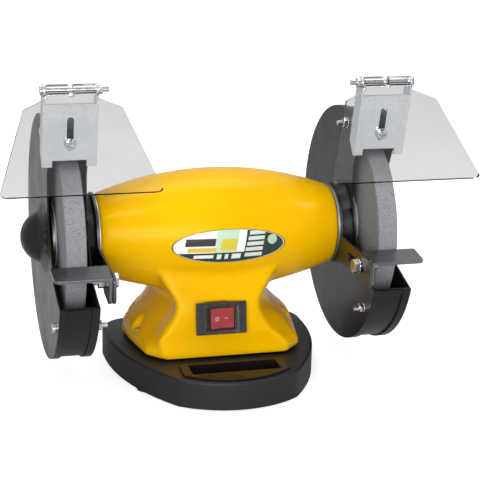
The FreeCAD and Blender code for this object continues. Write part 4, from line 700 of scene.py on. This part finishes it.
def badgeMaterial(settings):
    finish, tree, shader, place = newFinish("ovalBadge")
    axes = addNode(tree, "ShaderNodeSeparateXYZ")
    tree.links.new(place, axes.inputs[0])

    def number(operation, first, second):
        node = addNode(tree, "ShaderNodeMath", operation=operation)
        for index, part in enumerate((first, second)):
            if isinstance(part, (int, float)):
                node.inputs[index].default_value = part
            else:
                tree.links.new(part, node.inputs[index])
        return node.outputs[0]

    across = number("DIVIDE", number("SUBTRACT", axes.outputs["X"], settings["centre"][0]),
        settings["half"][0])
    upward = number("DIVIDE", number("SUBTRACT", axes.outputs["Z"], settings["centre"][1]),
        settings["half"][1])
    reach = number("ADD", number("MULTIPLY", across, across), number("MULTIPLY", upward, upward))

    def window(low, high, value):
        return number("MULTIPLY", number("GREATER_THAN", value, low), number("LESS_THAN", value, high))

    def paint(under, mask, color):
        mix = addNode(tree, "ShaderNodeMix", data_type="RGBA")
        tree.links.new(mask, mix.inputs["Factor"])
        if isinstance(under, tuple):
            mix.inputs["A"].default_value = (*under, 1)
        else:
            tree.links.new(under, mix.inputs["A"])
        mix.inputs["B"].default_value = (*color, 1)
        return mix.outputs["Result"]

    leaning = number("SUBTRACT", across, number("MULTIPLY", upward, settings["slant"]))
    color = paint(settings["ground"], window(*settings["fieldSpan"], leaning), settings["field"])
    color = paint(color, window(*settings["columnSpan"], leaning), settings["column"])
    color = paint(color, number("LESS_THAN", upward, settings["footBelow"]), settings["ground"])
    for low, high, bottom, top, shade in badgeBlocks:
        mask = number("MULTIPLY", window(low, high, leaning), window(bottom, top, upward))
        color = paint(color, mask, shade)
    stretch = settings["half"][0] / settings["half"][1]
    discX = number("MULTIPLY", number("SUBTRACT", across, settings["discAt"][0]), stretch)
    discZ = number("SUBTRACT", upward, settings["discAt"][1])
    disc = number("ADD", number("MULTIPLY", discX, discX), number("MULTIPLY", discZ, discZ))
    color = paint(color, number("LESS_THAN", disc, settings["discReach"]), settings["disc"])
    color = paint(color, window(*settings["rimSpan"], reach), settings["rim"])
    color = paint(color, number("GREATER_THAN", reach, settings["rimSpan"][1]), settings["outside"])
    tree.links.new(color, shader.inputs["Base Color"])
    gloss = effect(tree, driftTree, place, Scale=settings["glossScale"], Low=settings["rough"][0],
                   High=settings["rough"][1])
    tree.links.new(gloss.outputs["Value"], shader.inputs["Roughness"])
    shader.inputs["Coat Weight"].default_value = settings["coat"]
    return finish


badge = standIn("badge_plate", "ovalBadge")
softEdges(badge, 0.0002, 2, 40.0)
coat(badge, badgeMaterial(badgeSettings))
print("switch and badge done")

# floor: a pale sheet that glows a little, so that it stays white to its far edge

floorSettings = {
    "size": 8, "place": (0, 1.5, 0), "shade": (0.62, 0.62, 0.62), "pale": (0.66, 0.66, 0.66),
    "glow": 0.75,
    "glassGlow": 0.20, "toneScale": 3.0, "rough": 0.9,
}
bpy.ops.mesh.primitive_plane_add(size=floorSettings["size"], location=floorSettings["place"])
floor = bpy.context.object
floor.name = "paleFloor"
floorFinish, floorTree, floorShader, floorPlace = newFinish("paleFloorPaint")
floorTone = effect(floorTree, driftTree, floorPlace, Scale=floorSettings["toneScale"])
floorTree.links.new(tone(floorTree, floorTone.outputs["Value"], floorSettings["shade"],
    floorSettings["pale"]),
                    floorShader.inputs["Base Color"])
floorShader.inputs["Roughness"].default_value = floorSettings["rough"]
floorShader.inputs["Specular IOR Level"].default_value = 0.0
floorShader.inputs["Emission Color"].default_value = (1, 1, 1, 1)
floorPath = addNode(floorTree, "ShaderNodeLightPath")
floorGlow = addNode(floorTree, "ShaderNodeMath", operation="MULTIPLY")
floorGlass = addNode(floorTree, "ShaderNodeMath", operation="MULTIPLY_ADD")
floorGlow.inputs[1].default_value = floorSettings["glow"]
floorGlass.inputs[1].default_value = floorSettings["glassGlow"]
floorTree.links.new(floorPath.outputs["Is Camera Ray"], floorGlow.inputs[0])
floorTree.links.new(floorPath.outputs["Is Transmission Ray"], floorGlass.inputs[0])
floorTree.links.new(floorGlow.outputs[0], floorGlass.inputs[2])
floorTree.links.new(floorGlass.outputs[0], floorShader.inputs["Emission Strength"])
coat(floor, floorFinish)

deselect()


print("pieces finished")
